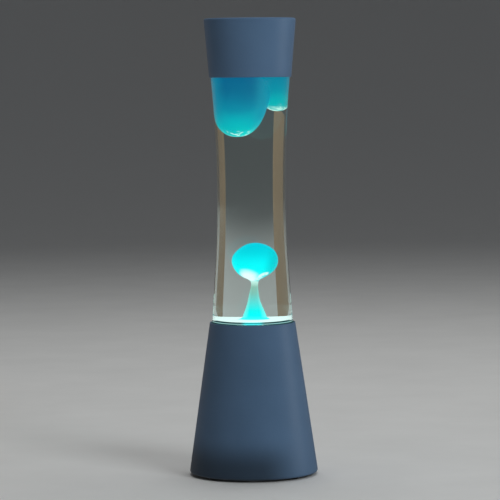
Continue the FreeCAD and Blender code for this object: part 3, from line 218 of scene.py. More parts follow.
def wire(name, points, radius, closed=False, sides=3):
    """A round wire along points in millimetres, as a mesh."""
    curve = bpy.data.curves.new(name, "CURVE")
    curve.dimensions = "3D"
    curve.bevel_depth = radius * MM
    curve.bevel_resolution = sides
    curve.use_fill_caps = not closed
    line = curve.splines.new("POLY")
    line.points.add(len(points) - 1)
    for spot, place in zip(line.points, points):
        spot.co = (*(Vector(place) * MM), 1)
    line.use_cyclic_u = closed
    holder = as_piece(name + "_line", curve)
    bpy.context.view_layer.update()
    seen = holder.evaluated_get(bpy.context.evaluated_depsgraph_get())
    mesh = bpy.data.meshes.new_from_object(seen)
    bpy.data.objects.remove(holder)
    mesh.name = name
    mesh.shade_smooth()
    mesh.set_sharp_from_angle(angle=SHARP)
    return as_piece(name, mesh)


# ---------------------------------------------------------------- materials


def srgb(red, green, blue):
    """A colour given in 0 to 255 screen values, as linear light."""
    def linear(value):
        share = value / 255
        return share / 12.92 if share <= 0.04045 else ((share + 0.055) / 1.055) ** 2.4
    return (linear(red), linear(green), linear(blue), 1.0)


class Finish:
    """A node material built with short calls. Patterns lie in the piece's own space, so they ride with it."""

    def __init__(self, name):
        self.material = bpy.data.materials.new(name)
        self.material.use_nodes = True
        self.tree = self.material.node_tree
        self.tree.nodes.clear()
        self.place = self.node("ShaderNodeTexCoord").outputs["Object"]

    def node(self, kind, inputs=None, **settings):
        made = self.tree.nodes.new(kind)
        for key, value in settings.items():
            setattr(made, key, value)
        for key, value in (inputs or {}).items():
            if isinstance(value, bpy.types.NodeSocket):
                self.tree.links.new(value, made.inputs[key])
            else:
                made.inputs[key].default_value = value
        return made

    def noise(self, scale, detail=3.0, where=None):
        inputs = {"Vector": where or self.place, "Scale": scale, "Detail": detail, "Roughness": 0.6}
        return self.node("ShaderNodeTexNoise", inputs).outputs["Fac"]

    def cells(self, scale):
        return self.node("ShaderNodeTexVoronoi", {"Vector": self.place, "Scale": scale}).outputs["Distance"]

    def stretched(self, across, rear, up):
        """The piece's own space, scaled along each axis."""
        return self.node("ShaderNodeMapping", {"Vector": self.place, "Scale": (across, rear, up)}).outputs[0]

    def part(self, vector, axis):
        return self.node("ShaderNodeSeparateXYZ", {"Vector": vector}).outputs[axis]

    def remap(self, value, low, high, first=0.0, last=1.0, smooth=False):
        inputs = {"Value": value, "From Min": low, "From Max": high, "To Min": first, "To Max": last}
        kind = "SMOOTHSTEP" if smooth else "LINEAR"
        return self.node("ShaderNodeMapRange", inputs, interpolation_type=kind).outputs["Result"]

    def math(self, operation, *values):
        inputs = dict(enumerate(values))
        return self.node("ShaderNodeMath", inputs, operation=operation).outputs[0]

    def times(self, first, second):
        return self.math("MULTIPLY", first, second)

    def reach(self, across, rear):
        """How far a place in plan lies from the origin."""
        return self.math("SQRT", self.math("ADD", self.times(across, across), self.times(rear, rear)))

    def ramp(self, value, stops):
        made = self.node("ShaderNodeValToRGB", {"Fac": value})
        elements = made.color_ramp.elements
        while len(elements) < len(stops):
            elements.new(0.5)
        for element, (position, colour) in zip(elements, stops):
            element.position = position
            element.color = colour
        return made.outputs["Color"]

    def mixed(self, share, first, second):
        inputs = {0: share, 6: first, 7: second}
        return self.node("ShaderNodeMix", inputs, data_type="RGBA").outputs[2]

    def bump(self, height, depth, strength=1.0):
        inputs = {"Height": height, "Distance": depth, "Strength": strength}
        return self.node("ShaderNodeBump", inputs).outputs["Normal"]

    def surface(self, **inputs):
        """A Principled surface; each input's name has _ for its spaces."""
        named = {key.replace("_", " "): value for key, value in inputs.items()}
        return self.node("ShaderNodeBsdfPrincipled", named).outputs[0]

    def done(self, shader):
        self.node("ShaderNodeOutputMaterial", {"Surface": shader})
        return self.material


def solid(name, colour, roughness, metallic=0.0, grain=1400.0, depth=0.00003, mottle=0.12, patches=90.0,
          coat=0.0):
    """A moulded, coated or plated surface: uneven tone and gloss in patches, and a fine grain."""
    gloss_swing = 0.08
    made = Finish(name)
    patch = made.noise(patches, 4.0)
    dark = tuple(value * (1 - mottle) for value in colour[:3]) + (1.0,)
    light = tuple(min(value * (1 + mottle), 1.0) for value in colour[:3]) + (1.0,)
    tone = made.ramp(patch, [(0.3, dark), (0.7, light)])
    gloss = made.remap(patch, 0.3, 0.7, roughness - gloss_swing, roughness + gloss_swing)
    normal = made.bump(made.noise(grain, 2.0), depth)
    return made.done(made.surface(
        Base_Color=tone, Roughness=gloss, Metallic=metallic, Normal=normal,
        Coat_Weight=coat, Coat_Roughness=0.15,
    ))


def brushed(name, colour, roughness, along=(1, 1, 30)):
    """Sheet or drawn metal: fine streaks that run one way, over faint stains."""
    made = Finish(name)
    streak = made.noise(260.0, 3.0, made.stretched(*along))
    stain = made.noise(55.0, 4.0)
    dull = tuple(value * 0.72 for value in colour[:3]) + (1.0,)
    worn = made.times(streak, made.math("ADD", stain, 0.5))
    tone = made.ramp(worn, [(0.3, dull), (0.65, colour)])
    gloss = made.remap(stain, 0.3, 0.7, roughness - 0.07, roughness + 0.12)
    normal = made.bump(streak, 0.00002)
    return made.done(made.surface(Base_Color=tone, Roughness=gloss, Metallic=1.0, Normal=normal))


def paint(name, low, high, painted_foot_shade=False):
    """Matte slate-blue powder coat: an orange-peel grain, faint tonal drift and, on the base, a painted shade
    on the foot.
    """
    made = Finish(name)
    drift = made.noise(14.0, 3.0)
    fleck = made.noise(2600.0, 2.0)
    tone = made.ramp(drift, [(0.35, low), (0.65, high)])
    flecked = made.mixed(made.remap(fleck, 0.35, 0.75, 0.0, 0.16), tone, srgb(116, 142, 168))
    if painted_foot_shade:
        # Painted shade: the lowest part of the base is darkened towards the floor, fading out towards the
        # right side.
        low_down = made.remap(made.part(made.place, 2), 0.040, 0.011, 0.0, 0.74, smooth=True)
        from_right = made.remap(made.part(made.place, 0), 0.046, 0.006, 0.1, 1.0, smooth=True)
        flecked = made.mixed(made.times(low_down, from_right), flecked, srgb(26, 37, 46))
    gloss = made.remap(drift, 0.3, 0.7, 0.42, 0.5)
    peel = made.math("ADD", made.noise(900.0, 3.0), made.times(fleck, 0.5))
    return made.done(made.surface(
        Base_Color=flecked, Roughness=gloss, Specular_IOR_Level=0.5, Normal=made.bump(peel, 0.00004),
    ))


def clear(name, bend, tint):
    """A clear solid or fluid that lets lamps through. Head on it mirrors less than the real one does."""
    head_on, kept = 0.04, 0.01
    made = Finish(name)
    mirrored = made.remap(made.node("ShaderNodeFresnel", {"IOR": bend}).outputs[0], head_on, 1.0, kept, 1.0)
    bent = made.node("ShaderNodeBsdfRefraction", {"Color": tint, "IOR": bend, "Roughness": 0.0}).outputs[0]
    gloss = made.node("ShaderNodeBsdfAnisotropic", {"Color": tint, "Roughness": 0.0}).outputs[0]
    glass = made.node("ShaderNodeMixShader", {0: mirrored, 1: bent, 2: gloss}).outputs[0]
    open_way = made.node("ShaderNodeBsdfTransparent", {"Color": tint}).outputs[0]
    shadow = made.node("ShaderNodeLightPath").outputs["Is Shadow Ray"]
    return made.done(made.node("ShaderNodeMixShader", {0: shadow, 1: glass, 2: open_way}).outputs[0])


def wax(name, light):
    """Wax lit from below: a painted glow for the bulb's light through it, graded as light() says, over a soft
    dim body.
    """
    made = Finish(name)
    ripple = made.bump(made.noise(70.0, 2.0), 0.0006, 0.5)
    sheen = made.remap(made.noise(120.0), 0.3, 0.7, 0.35, 0.5)
    return made.done(made.surface(
        Base_Color=srgb(0, 70, 78), Roughness=sheen, Specular_IOR_Level=0.12, Normal=ripple,
        Emission_Color=light(made), Emission_Strength=1.05,
    ))


def facing(made, direction):
    """How far a surface faces a fixed direction of the room, from -1 to 1."""
    normal = made.node("ShaderNodeNewGeometry").outputs["Normal"]
    inputs = {0: normal, 1: Vector(direction).normalized()}
    return made.node("ShaderNodeVectorMath", inputs, operation="DOT_PRODUCT").outputs["Value"]


def rest_place(made):
    """Where a point of the wax is while the lamp is at rest, along each axis, in metres."""
    kept = made.node("ShaderNodeAttribute", attribute_name="rest_place").outputs["Vector"]
    return made.node("ShaderNodeSeparateXYZ", {"Vector": kept}).outputs


def keep_rest(piece):
    """Stores each point's place at rest, so that shading by height stays with wax that moves."""
    kept = piece.data.attributes.new("rest_place", "FLOAT_VECTOR", "POINT")
    flat = [value for vertex in piece.data.vertices for value in vertex.co]
    kept.data.foreach_set("vector", flat)
    return piece


def height_ramp(made, height, stops):
    """A colour by height: stops are (millimetres, colour), going up."""
    low, high = stops[0][0], stops[-1][0]
    share = made.remap(height, low * MM, high * MM)
    return made.ramp(share, [((up - low) / (high - low), colour) for up, colour in stops])


def stem_and_blob_light(made, height):
    """Painted glow of light from below: mint up the stem and paler at its sides, cyan in the blob, white on
    its belly, deeper at its crown.
    """
    upward = height_ramp(made, height, [
        (134.6, srgb(170, 252, 248)),
        (135.4, srgb(60, 255, 255)),
        (138.6, srgb(0, 255, 255)),
        (143, srgb(12, 246, 242)),
        (150, srgb(90, 222, 216)),
        (157.5, srgb(128, 192, 178)),
        (163, srgb(142, 190, 170)),
        (167.5, srgb(200, 240, 228)),
        (170.5, srgb(120, 252, 250)),
        (173.5, srgb(20, 248, 250)),
        (180, srgb(0, 255, 255)),
        (187, srgb(0, 238, 244)),
        (194, srgb(0, 214, 226)),
        (200, srgb(0, 204, 222)),
    ])
    # Painted light: the stem paler at its sides.
    sideways = made.math("ABSOLUTE", facing(made, (1, 0, 0)))
    painted_stem_edge_light = made.times(made.remap(sideways, 0.55, 1.0, 0.0, 0.6), made.remap(height, 0.168, 0.150))
    stem = made.mixed(painted_stem_edge_light, upward, srgb(150, 246, 236))
    in_blob = made.remap(height, 0.1665, 0.1695, smooth=True)
    # Painted highlight: white where the blob's belly faces down and to the front left.
    belly = made.remap(facing(made, (-0.3, -0.52, -0.8)), 0.80, 0.985, smooth=True)
    blob = made.mixed(made.times(belly, in_blob), stem, srgb(236, 255, 252))
    # Painted shade: a deeper cyan on the side of the blob that faces right.
    painted_far_side_shade = made.remap(facing(made, (0.93, 0, -0.25)), 0.35, 1.0, 0.0, 0.75, smooth=True)
    shaded = made.mixed(made.times(painted_far_side_shade, in_blob), blob, srgb(0, 188, 196))
    # Painted glints: white specks where the blob faces down and to the front right.
    painted_glint = made.times(made.remap(facing(made, (0.42, -0.45, -0.79)), 0.955, 0.985, smooth=True),
                       made.remap(made.noise(210.0, 3.0), 0.42, 0.56))
    return made.mixed(made.times(painted_glint, in_blob), shaded, srgb(222, 255, 248))


def pool_top_light(made, across, rear):
    """Painted glow on the pool's top: white where it lies level, and cyan round the stem's foot, in an oval
    that runs from front to back.
    """
    from_stem = made.reach(made.math("SUBTRACT", across, 0.0025), made.times(rear, 0.35))
    round_stem = made.ramp(made.remap(from_stem, 0.004, 0.019),
                           [(0.0, srgb(110, 252, 254)), (1.0, srgb(238, 255, 251))])
    level = made.remap(facing(made, (0, 0, 1)), 0.2, 0.8, smooth=True)
    return made.mixed(level, round_stem, srgb(232, 255, 252))


def pool_side_light(made, across, height):
    """Painted glow on the pool's side: dark, with one thin painted line of light round it; both are cyan in
    the middle.
    """
    off_middle = made.remap(made.math("ABSOLUTE", across), 0.005, 0.0105, smooth=True)
    off_line = made.math("ABSOLUTE", made.math("SUBTRACT", height, 0.13335))
    line = made.remap(off_line, 0.00022, 0.00048, 1.0, 0.0, smooth=True)
    dim = made.mixed(off_middle, srgb(10, 168, 176), srgb(18, 46, 46))
    bright = made.mixed(off_middle, srgb(96, 246, 248), srgb(150, 196, 194))
    return made.mixed(line, dim, bright)


def column_light(made):
    """The painted glow of the stem and blob over the pool, and of the pool's side, which takes in the front
    of its lip.
    """
    across, rear, height = rest_place(made)
    over_pool = made.remap(height, 0.1348, 0.1356, smooth=True)
    upper = made.mixed(over_pool, pool_top_light(made, across, rear), stem_and_blob_light(made, height))
    in_front = made.remap(rear, -0.004, -0.010, smooth=True)
    lip = made.times(made.remap(made.reach(across, rear), 0.0262, 0.0280, smooth=True), in_front)
    side = made.math("MAXIMUM", lip, made.remap(height, (POOL_TOP - 0.03) * MM, (POOL_TOP - 0.13) * MM))
    return made.mixed(side, upper, pool_side_light(made, across, height))


def uneven(made, height, scale, swing):
    """A height moved up and down by a slow noise, so that the bands of colour aren't level."""
    return made.math("ADD", height, made.remap(made.noise(scale, 2.0), 0.3, 0.7, -swing, swing))


def specked(made, colour, height, sparse, start, full):
    """Pale painted specks of trapped light, which fade in from one height down to another."""
    specks = made.remap(made.noise(330.0, 3.0), sparse, sparse + 0.06)
    low = made.remap(height, start, full, smooth=True)
    return made.mixed(made.times(specks, low), colour, srgb(196, 250, 238))


def left_light(made):
    """The front mass's painted glow: cyan at its lit bottom, deep blue-teal behind its crown, paler towards
    its sides.
    """
    across, _, height = rest_place(made)
    upward = height_ramp(made, uneven(made, height, 28.0, 0.003), [
        (293, srgb(0, 200, 194)),
        (299, srgb(0, 186, 188)),
        (307, srgb(0, 170, 182)),
        (316, srgb(0, 134, 161)),
        (325, srgb(0, 113, 147)),
        (334, srgb(0, 97, 136)),
        (346, srgb(0, 99, 140)),
    ])
    # Painted light: the mass paler away from its middle, towards its sides.
    off_centre = made.math("ABSOLUTE", made.math("ADD", across, 0.010))
    body = made.mixed(made.remap(off_centre, 0.010, 0.022, 0.0, 0.55, smooth=True), upward, srgb(0, 152, 174))
    # Painted light from below: cyan-white where the mass faces down.
    under = made.remap(facing(made, (0.25, -0.1, -0.96)), 0.72, 0.97, 0.0, 0.55, smooth=True)
    lit = made.mixed(under, body, srgb(40, 236, 226))
    return specked(made, lit, height, 0.54, 0.3000, 0.2965)


def right_light(made):
    """The rear mass's painted glow: teal, with a white rim of trapped light along its bottom."""
    height = rest_place(made)[2]
    upward = height_ramp(made, uneven(made, height, 30.0, 0.002), [
        (316, srgb(0, 180, 178)),
        (325, srgb(0, 170, 176)),
        (333, srgb(0, 140, 162)),
        (346, srgb(0, 124, 154)),
    ])
    # Painted light from below: a broken white rim where the mass faces down.
    under = made.remap(facing(made, (0, 0, -1)), 0.5, 0.8, 0.0, 0.95, smooth=True)
    broken = made.remap(made.noise(190.0, 3.0), 0.4, 0.56, 0.3, 1.0)
    lit = made.mixed(made.times(under, broken), upward, srgb(200, 255, 240))
    return specked(made, lit, height, 0.57, 0.3225, 0.3185)


# ---------------------------------------------------------------- camera, floor and light

CAMERA_PLACE = Vector((0, -2.33, 0.355))
CAMERA_AIM = Vector((-0.0016, 0, 0.195))
CAMERA_LENS = 194.24
CAMERA_ROLL = math.radians(-0.562)


def make_camera():
    """A long lens from the front, a little above the lamp's middle and looking slightly down."""
    made = bpy.data.objects.new("camera", bpy.data.cameras.new("camera"))
    bpy.context.scene.collection.objects.link(made)
    made.data.lens = CAMERA_LENS
    made.data.sensor_width = 36
    made.location = CAMERA_PLACE
    look = (CAMERA_AIM - CAMERA_PLACE).to_track_quat("-Z", "Y").to_matrix()
    made.rotation_euler = (look @ Matrix.Rotation(CAMERA_ROLL, 3, "Z")).to_euler()
    bpy.context.scene.camera = made


def make_floor():
    """A round floor that sweeps up into a wall, so that every side has the same plain backdrop."""
    floor_radius, sweep, wall_top, around = 3000.0, 1500.0, 3600.0, 96
    work = bmesh.new()
    points = outline([(0, 0), (floor_radius, 0), (floor_radius + sweep, sweep, sweep, "left"),
                      (floor_radius + sweep, wall_top)])
    rings = []
    for radius, up in points:
        angles = [TURN * step / around for step in range(1 if radius == 0 else around)]
        rings.append([work.verts.new((radius * math.cos(a), radius * math.sin(a), up)) for a in angles])
    for low, high in zip(rings, rings[1:]):
        for step in range(around):
            after = (step + 1) % around
            if len(low) == 1:
                work.faces.new([low[0], high[step], high[after]])
            else:
                work.faces.new([low[step], low[after], high[after], high[step]])
    made = settle("floor", work)
    finish = Finish("floor")
    away = finish.node("ShaderNodeVectorMath", {0: finish.place}, operation="LENGTH").outputs["Value"]
    pale = finish.ramp(finish.noise(9.0, 4.0), [(0.3, srgb(224, 224, 222)), (0.7, srgb(230, 230, 228))])
    tone = finish.mixed(finish.remap(away, 1.2, 4.2, smooth=True), pale, srgb(180, 181, 182))
    made.data.materials.append(finish.done(finish.surface(
        Base_Color=tone, Roughness=0.6, Normal=finish.bump(finish.noise(700.0), 0.00003),
    )))
    made.visible_glossy = False


def make_flags():
    """Two warm-grey panels behind the lamp, which only the glass sees, and gathers in at its sides."""
    distance, far, bottom, top, steps = 790.0, math.radians(48), 2.0, 360.0, 12
    for side, near in ((-1, math.radians(21.5)), (1, math.radians(28.5))):
        work = bmesh.new()
        angles = [near + (far - near) * step / steps for step in range(steps + 1)]
        spots = [(side * distance * math.sin(a), distance * math.cos(a)) for a in angles]
        low = [work.verts.new((x, y, bottom)) for x, y in spots]
        high = [work.verts.new((x, y, top)) for x, y in spots]
        for step in range(steps):
            work.faces.new([low[step], low[step + 1], high[step + 1], high[step]])
        panel = settle(f"side_flag_{'left' if side < 0 else 'right'}", work)
        finish = Finish("side_flag")
        tone = finish.ramp(finish.noise(3.0), [(0.3, srgb(172, 147, 122)), (0.7, srgb(180, 155, 130))])
        panel.data.materials.append(finish.done(finish.surface(Base_Color=tone, Roughness=0.9)))
        for ray in ("camera", "diffuse", "shadow"):
            setattr(panel, "visible_" + ray, False)


def area_light(name, place, width, height, power, colour):
    """A soft box aimed at the middle of the lamp, which isn't itself mirrored in the glass."""
    middle = Vector((0, 0, 0.22))
    data = bpy.data.lights.new(name, "AREA")
    data.shape = "RECTANGLE"
    data.size = width
    data.size_y = height
    data.energy = power
    data.color = colour
    made = bpy.data.objects.new(name, data)
    bpy.context.scene.collection.objects.link(made)
    made.location = place
    made.rotation_euler = (middle - Vector(place)).to_track_quat("-Z", "Y").to_euler()
    made.visible_glossy = False
    made.visible_transmission = False
    return made


def make_light():
    """Three soft boxes in a dim grey room."""
    area_light("key", (1.25, -1.55, 1.15), 0.9, 1.2, 20, (0.93, 0.97, 1.0))
    area_light("fill", (-1.6, -1.3, 0.9), 1.2, 1.2, 0.8, (1.0, 0.97, 0.92))
    area_light("top", (0.1, 0.6, 1.9), 1.4, 1.4, 16, (1.0, 1.0, 1.0))
    world = bpy.data.worlds.new("studio")
    world.use_nodes = True
    background = world.node_tree.nodes["Background"].inputs
    background["Color"].default_value = (0.30, 0.305, 0.31, 1)
    background["Strength"].default_value = 0.45
    bpy.context.scene.world = world


def make_side_strip(shells):
    """A strip light for the two painted shells alone, whose matte coat it grazes down the right side."""
    strip = area_light("side_strip", (1.75, 0.12, 0.45), 0.35, 1.3, 4, (0.93, 0.97, 1.0))
    strip.visible_glossy = True
    lit = bpy.data.collections.new("painted_shells")
    for shell in shells:
        lit.objects.link(shell)
    strip.light_linking.receiver_collection = lit


# ---------------------------------------------------------------- base shell and seat gasket


def shell_radius(up):
    """The outer radius of the base's cone at a height."""
    share = (up - SHELL_FOOT[1]) / (SHELL_RIM[1] - SHELL_FOOT[1])
    return SHELL_FOOT[0] + (SHELL_RIM[0] - SHELL_FOOT[0]) * share


def make_base_shell(coat):
    """The cone with its curled-in foot, rounded rim, and the ledge that the bottle's gasket lies on."""
    wall, edge, curl = 1.2, 2.0, 2.9
    foot, bottom = SHELL_FOOT
    rim_radius, rim = SHELL_RIM
    ledge_radius, collar, rim_round = 27.0, 35.9, 0.6
    hole, hole_up, hole_rear, drill_reach = 5.0, 12.0, 35.0, 30.0
    shell = lathe("spun_base", finer(outline([
        (foot - curl, bottom),
        (shell_radius(bottom + edge) - edge, bottom),
        (shell_radius(bottom + edge), bottom + edge, edge, "left"),
        (rim_radius, rim - rim_round),
        (rim_radius - rim_round, rim, rim_round, "left"),
        (collar, rim - rim_round, rim_round, "left"),
        (collar, LEDGE),
        (ledge_radius, LEDGE),
        (ledge_radius, LEDGE - wall),
        (shell_radius(LEDGE - wall) - wall, LEDGE - wall),
        (shell_radius(bottom + wall) - wall, bottom + wall),
        (foot - curl, bottom + wall),
    ]), 12.0), around=224)
    drill = lathe("cable_drill", [(0, 0), (hole, 0), (hole, drill_reach), (0, drill_reach)], around=48)
    start = Matrix.Translation((0, hole_rear * MM, hole_up * MM))
    drill.data.transform(start @ Matrix.Rotation(-TURN / 4, 4, "X"))
    cut_away(shell, drill)
    shell.data.materials.clear()
    shell.data.materials.append(coat)
    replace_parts(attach(shell, "base"), "base_shell")
    return shell


def make_gasket():
    """Translucent silicone, with a painted glow at its lip for the pool's light, most in the middle."""
    made = Finish("silicone")
    # Painted glow: the lip lit by the pool, most near the middle from side to side.
    lip = made.remap(made.part(made.place, 2), (LIP_TOP - 0.7) * MM, LIP_TOP * MM, 0.0, 0.35, smooth=True)
    middle = made.remap(made.math("ABSOLUTE", made.part(made.place, 0)), 0.008, 0.018, 1.0, 0.25, smooth=True)
    gloss = made.remap(made.noise(160.0), 0.3, 0.7, 0.35, 0.5)
    ring = lathe("seal_ring", outline([
        (27.6, LEDGE),
        (35.6, LEDGE),
        (35.85, LEDGE + 0.25, 0.25, "left"),
        (35.85, LIP_TOP - 0.2),
        (35.65, LIP_TOP, 0.2, "left"),
        (35.45, LIP_TOP - 0.2, 0.2, "left"),
        (35.4, HEEL + 0.2),
        (35.2, HEEL, 0.2, "right"),
        (27.8, HEEL),
        (27.6, HEEL - 0.2, 0.2, "left"),
    ]), around=224)
    ring.data.materials.append(made.done(made.surface(
        Base_Color=srgb(52, 78, 84), Roughness=gloss, Transmission_Weight=0.2,
        Emission_Color=srgb(60, 190, 200), Emission_Strength=made.times(lip, middle),
    )))
    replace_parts(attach(ring, "base"), "seat_gasket")


# ---------------------------------------------------------------- bottle and liquid


def inner_wall(grow=0.0):
    """The inside of the bottle going up from the flank, moved outwards by a little."""
    inset = GLASS_WALL - grow
    return [
        (FLANK[0] - inset, FLANK[1]),
        (WAIST[0] - inset, WAIST[1], LOWER_CURVE + inset, "right"),
        (SHOULDER[0] - inset, SHOULDER[1], UPPER_CURVE + inset, "right"),
    ]


def make_bottle(glass):
    """A thick heel with a punt, thin waisted flanks, a round shoulder, and a finish for the crown."""
    shoulder_across = SHOULDER[0] - SHOULDER_ROUND
    shoulder_top = SHOULDER[1] + SHOULDER_ROUND
    neck = shoulder_across - THROAT_ROUND
    throat = shoulder_top + THROAT_ROUND
    punt, heel_round, finish, finish_radius, mouth_radius = HEEL + 2, 5.0, MOUTH - 7, 13.3, 8.8
    corners = [
        (0, punt),
        (PUNT_RADIUS - 3, punt),
        (PUNT_RADIUS, HEEL + 0.4),
        (PUNT_RADIUS + 0.8, HEEL, 1.2, "left"),
        (HEEL_RADIUS - heel_round, HEEL),
        (HEEL_RADIUS, HEEL + heel_round, heel_round, "left"),
        FLANK,
        (*WAIST, LOWER_CURVE, "right"),
        (*SHOULDER, UPPER_CURVE, "right"),
        (shoulder_across, shoulder_top, SHOULDER_ROUND, "left"),
        (neck, throat, THROAT_ROUND, "right"),
        (neck, finish - 1),
        (finish_radius, finish),
        (finish_radius, MOUTH - 1),
        (finish_radius - 1, MOUTH, 1, "left"),
        (mouth_radius, MOUTH),
        (mouth_radius, finish),
        (neck - GLASS_WALL, finish - 3),
        (neck - GLASS_WALL, throat),
        (shoulder_across, shoulder_top - GLASS_WALL, THROAT_ROUND + GLASS_WALL, "left"),
        (SHOULDER[0] - GLASS_WALL, SHOULDER[1], SHOULDER_ROUND - GLASS_WALL, "right"),
    ]
    corners += backwards(FLOOR_EDGE, inner_wall())
    corners += [(PUNT_RADIUS + 3.5, BOTTLE_FLOOR + 0.9), (PUNT_RADIUS, BOTTLE_FLOOR), (0, BOTTLE_FLOOR)]
    bottle = lathe("blown_bottle", finer(outline(corners), 2.0), around=288)
    bottle.data.materials.append(glass)
    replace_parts(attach(bottle, "bottle"), "bottle_glass")


def make_liquid(fluid):
    """The fluid reaches a little into the glass, so that light meets one wet boundary between the two."""
    grow = 0.12
    inner_round = SHOULDER_ROUND - GLASS_WALL + grow
    reach = math.sqrt(inner_round**2 - (LIQUID_TOP - SHOULDER[1]) ** 2)
    top = SHOULDER[0] - SHOULDER_ROUND + reach
    corners = [(0, BOTTLE_FLOOR - grow), (PUNT_RADIUS, BOTTLE_FLOOR - grow),
               (FLOOR_EDGE[0] + grow, FLOOR_EDGE[1] - grow)]
    corners += inner_wall(grow) + [(top, LIQUID_TOP, inner_round, "left"), (0, LIQUID_TOP)]
    body = lathe("clear_liquid", finer(outline(corners), 2.0), around=288)
    body.data.materials.append(fluid)
    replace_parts(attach(body, "bottle"), "liquid")


# ---------------------------------------------------------------- wax


def beyond(end, inner):
    """The knot past an end: mirrored where the run meets the axis, and straight on elsewhere."""
    return Vector((-inner.x, inner.y)) if end.x == 0 else end * 2 - inner


def smooth_through(knots, per_run=8):
    """A smooth run of points through knots, each (across, up)."""
    points = [Vector(knot) for knot in knots]
    points = [beyond(points[0], points[1])] + points + [beyond(points[-1], points[-2])]
    out = []
    for index in range(1, len(points) - 2):
        before, start, end, after = points[index - 1:index + 3]
        for step in range(per_run):
            share = step / per_run
            a = (end - before) / 2
            b = (after - start) / 2
            spot = (start * (2 * share**3 - 3 * share**2 + 1) + a * (share**3 - 2 * share**2 + share)
                    + end * (3 * share**2 - 2 * share**3) + b * (share**3 - share**2))
            out.append((max(spot.x, 0.0), spot.y))
    out.append(tuple(points[-2]))
    return out


def bell(value, middle, width):
    """A smooth hump of height 1."""
    return math.exp(-(((value - middle) / width) ** 2))


def column_axis(up):
    """How far across the wax column stands at a height: it bends up the stem and leans in the blob."""
    if up <= POOL_TOP:
        return 0.0
    foot = min(up - POOL_TOP, 1.0)
    rise = min(max((up - 150) / 20, 0.0), 1.0)
    stem_bend = -0.5 * bell(up, 156, 9)
    low_lean, top_lean = -0.75 * bell(up, 171.8, 3.8), 0.5 * bell(up, 196, 5)
    return STEM_AXIS * foot + (BLOB_AXIS - STEM_AXIS) * rise + stem_bend + low_lean + top_lean


def make_wax_column():
    """One body of wax: the pool over the coil, the flared stem that it draws up, and the blob on the stem."""
    stem = smooth_through([
        (10.4, 135.0), (8.9, 135.7), (7.7, 137.0), (6.7, 140.4), (4.65, 147.6), (3.6, 152.5), (2.85, 158.2),
        (2.3, 162.5), (2.2, 165.3), (2.6, 168.0), (4.1, 169.8), (6.8, 171.5), (10.1, 174.4), (12.35, 177.4),
        (13.9, 181.0), (14.55, 185.2), (13.8, 190.2), (11.4, 194.9), (7.7, 198.6), (3.9, 200.7), (0, 201.35),
    ])
    wall = FLOOR_EDGE[0] - WAX_GAP
    pool = [(0, BOTTLE_FLOOR + 0.1), (PUNT_RADIUS, BOTTLE_FLOOR + 0.1), (wall - 0.2, FLOOR_EDGE[1] - 0.1),
            (wall, FLOOR_EDGE[1] + 0.3), (wall, POOL_TOP - 0.35), (wall - 0.3, POOL_TOP - 0.1),
            (wall - 1.0, POOL_TOP), (20, POOL_TOP + 0.02), (13.5, POOL_TOP + 0.15)]
    column = lathe("molten_wax", finer(pool + stem, 1.0), around=128, sharp=math.radians(75))
    for vertex in column.data.vertices:
        up = vertex.co.z / MM
        angle = math.atan2(vertex.co.y, vertex.co.x)
        in_blob = min(max((up - 165) / 8, 0.0), 1.0)
        vertex.co.y *= 1 + 0.012 * math.sin(2 * angle + up / 9) * in_blob
        vertex.co.x += column_axis(up) * MM
    keep_rest(column)
    column.data.materials.append(wax("wax_column", column_light))
    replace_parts(column, "wax_pool", "wax_blob")
    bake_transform(column)


def bottle_inside(up):
    """The inner radius of the bottle at a height on the upper curve or the shoulder."""
    if up > SHOULDER[1]:
        inner_round = SHOULDER_ROUND - GLASS_WALL
        return SHOULDER[0] - SHOULDER_ROUND + math.sqrt(inner_round**2 - (up - SHOULDER[1]) ** 2)
    below = WAIST
    for point in arc(WAIST, SHOULDER, UPPER_CURVE, "right"):
        if point[1] >= up:
            share = (up - below[1]) / (point[1] - below[1])
            return below[0] + (point[0] - below[0]) * share - GLASS_WALL
        below = point
    return SHOULDER[0] - GLASS_WALL


def hanging_mass(name, centre, knots, grow=0.0):
    """A rounded mass that hangs from the liquid's surface and is held by the glass where it reaches it."""
    run = smooth_through([(across + (grow if across else 0), up) for across, up in knots])
    lowest = (0.0, run[0][1] - grow)
    points = finer([lowest] + run[1:], 1.5) + [(0, run[-1][1])]
    full = 12.0

    def held(reach, up, angle):
        ridge = (math.sin(2 * angle + up / 13) + 0.6 * math.sin(3 * angle - up / 8)) * MASS_UNEVEN
        free = reach + ridge * min(reach / full, 1)
        limit = bottle_inside(min(up, run[-1][1])) - WAX_GAP + grow
        along = centre[0] * math.cos(angle) + centre[1] * math.sin(angle)
        away = centre[0] ** 2 + centre[1] ** 2
        wall = -along + math.sqrt(max(along**2 - away + limit**2, 0.01))
        return min(free, wall), up

    return lathe(name, points, around=160, centre=centre, warp=held, sharp=math.radians(70))


LEFT_CENTRE = (-8.95, -4.0)
LEFT_KNOTS = [
    (0, 293.6), (5.6, 294.6), (10.0, 297.6), (13.2, 301.4), (15.8, 305.9), (18.4, 312.8), (19.9, 318.6),
    (21.4, 325.1), (22.2, 331.6), (21.3, 338.6), (18.5, 344.6), (15.0, 350.0),
]
RIGHT_CENTRE = (16.0, 6.0)
RIGHT_KNOTS = [
    (0, 315.6), (3.0, 316.1), (5.6, 317.7), (7.8, 320.4), (9.8, 324.0), (12.5, 329.0), (16.5, 336.0),
    (20.0, 343.0), (22.0, 350.0),
]
MASS_UNEVEN = 0.15


def make_top_wax():
    """The front mass, and the rear one cut back to stay clear of it."""
    left = hanging_mass("wax_top_left", LEFT_CENTRE, LEFT_KNOTS)
    right = hanging_mass("wax_top_right", RIGHT_CENTRE, RIGHT_KNOTS)
    cut_away(right, hanging_mass("left_clearance", LEFT_CENTRE, LEFT_KNOTS, grow=0.4))
    masses = ((left, "wax_mass_left", left_light), (right, "wax_mass_right", right_light))
    for piece, node, light in masses:
        keep_rest(piece)
        piece.data.materials.clear()
        piece.data.materials.append(wax(piece.name, light))
        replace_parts(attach(piece, "bottle"), node)


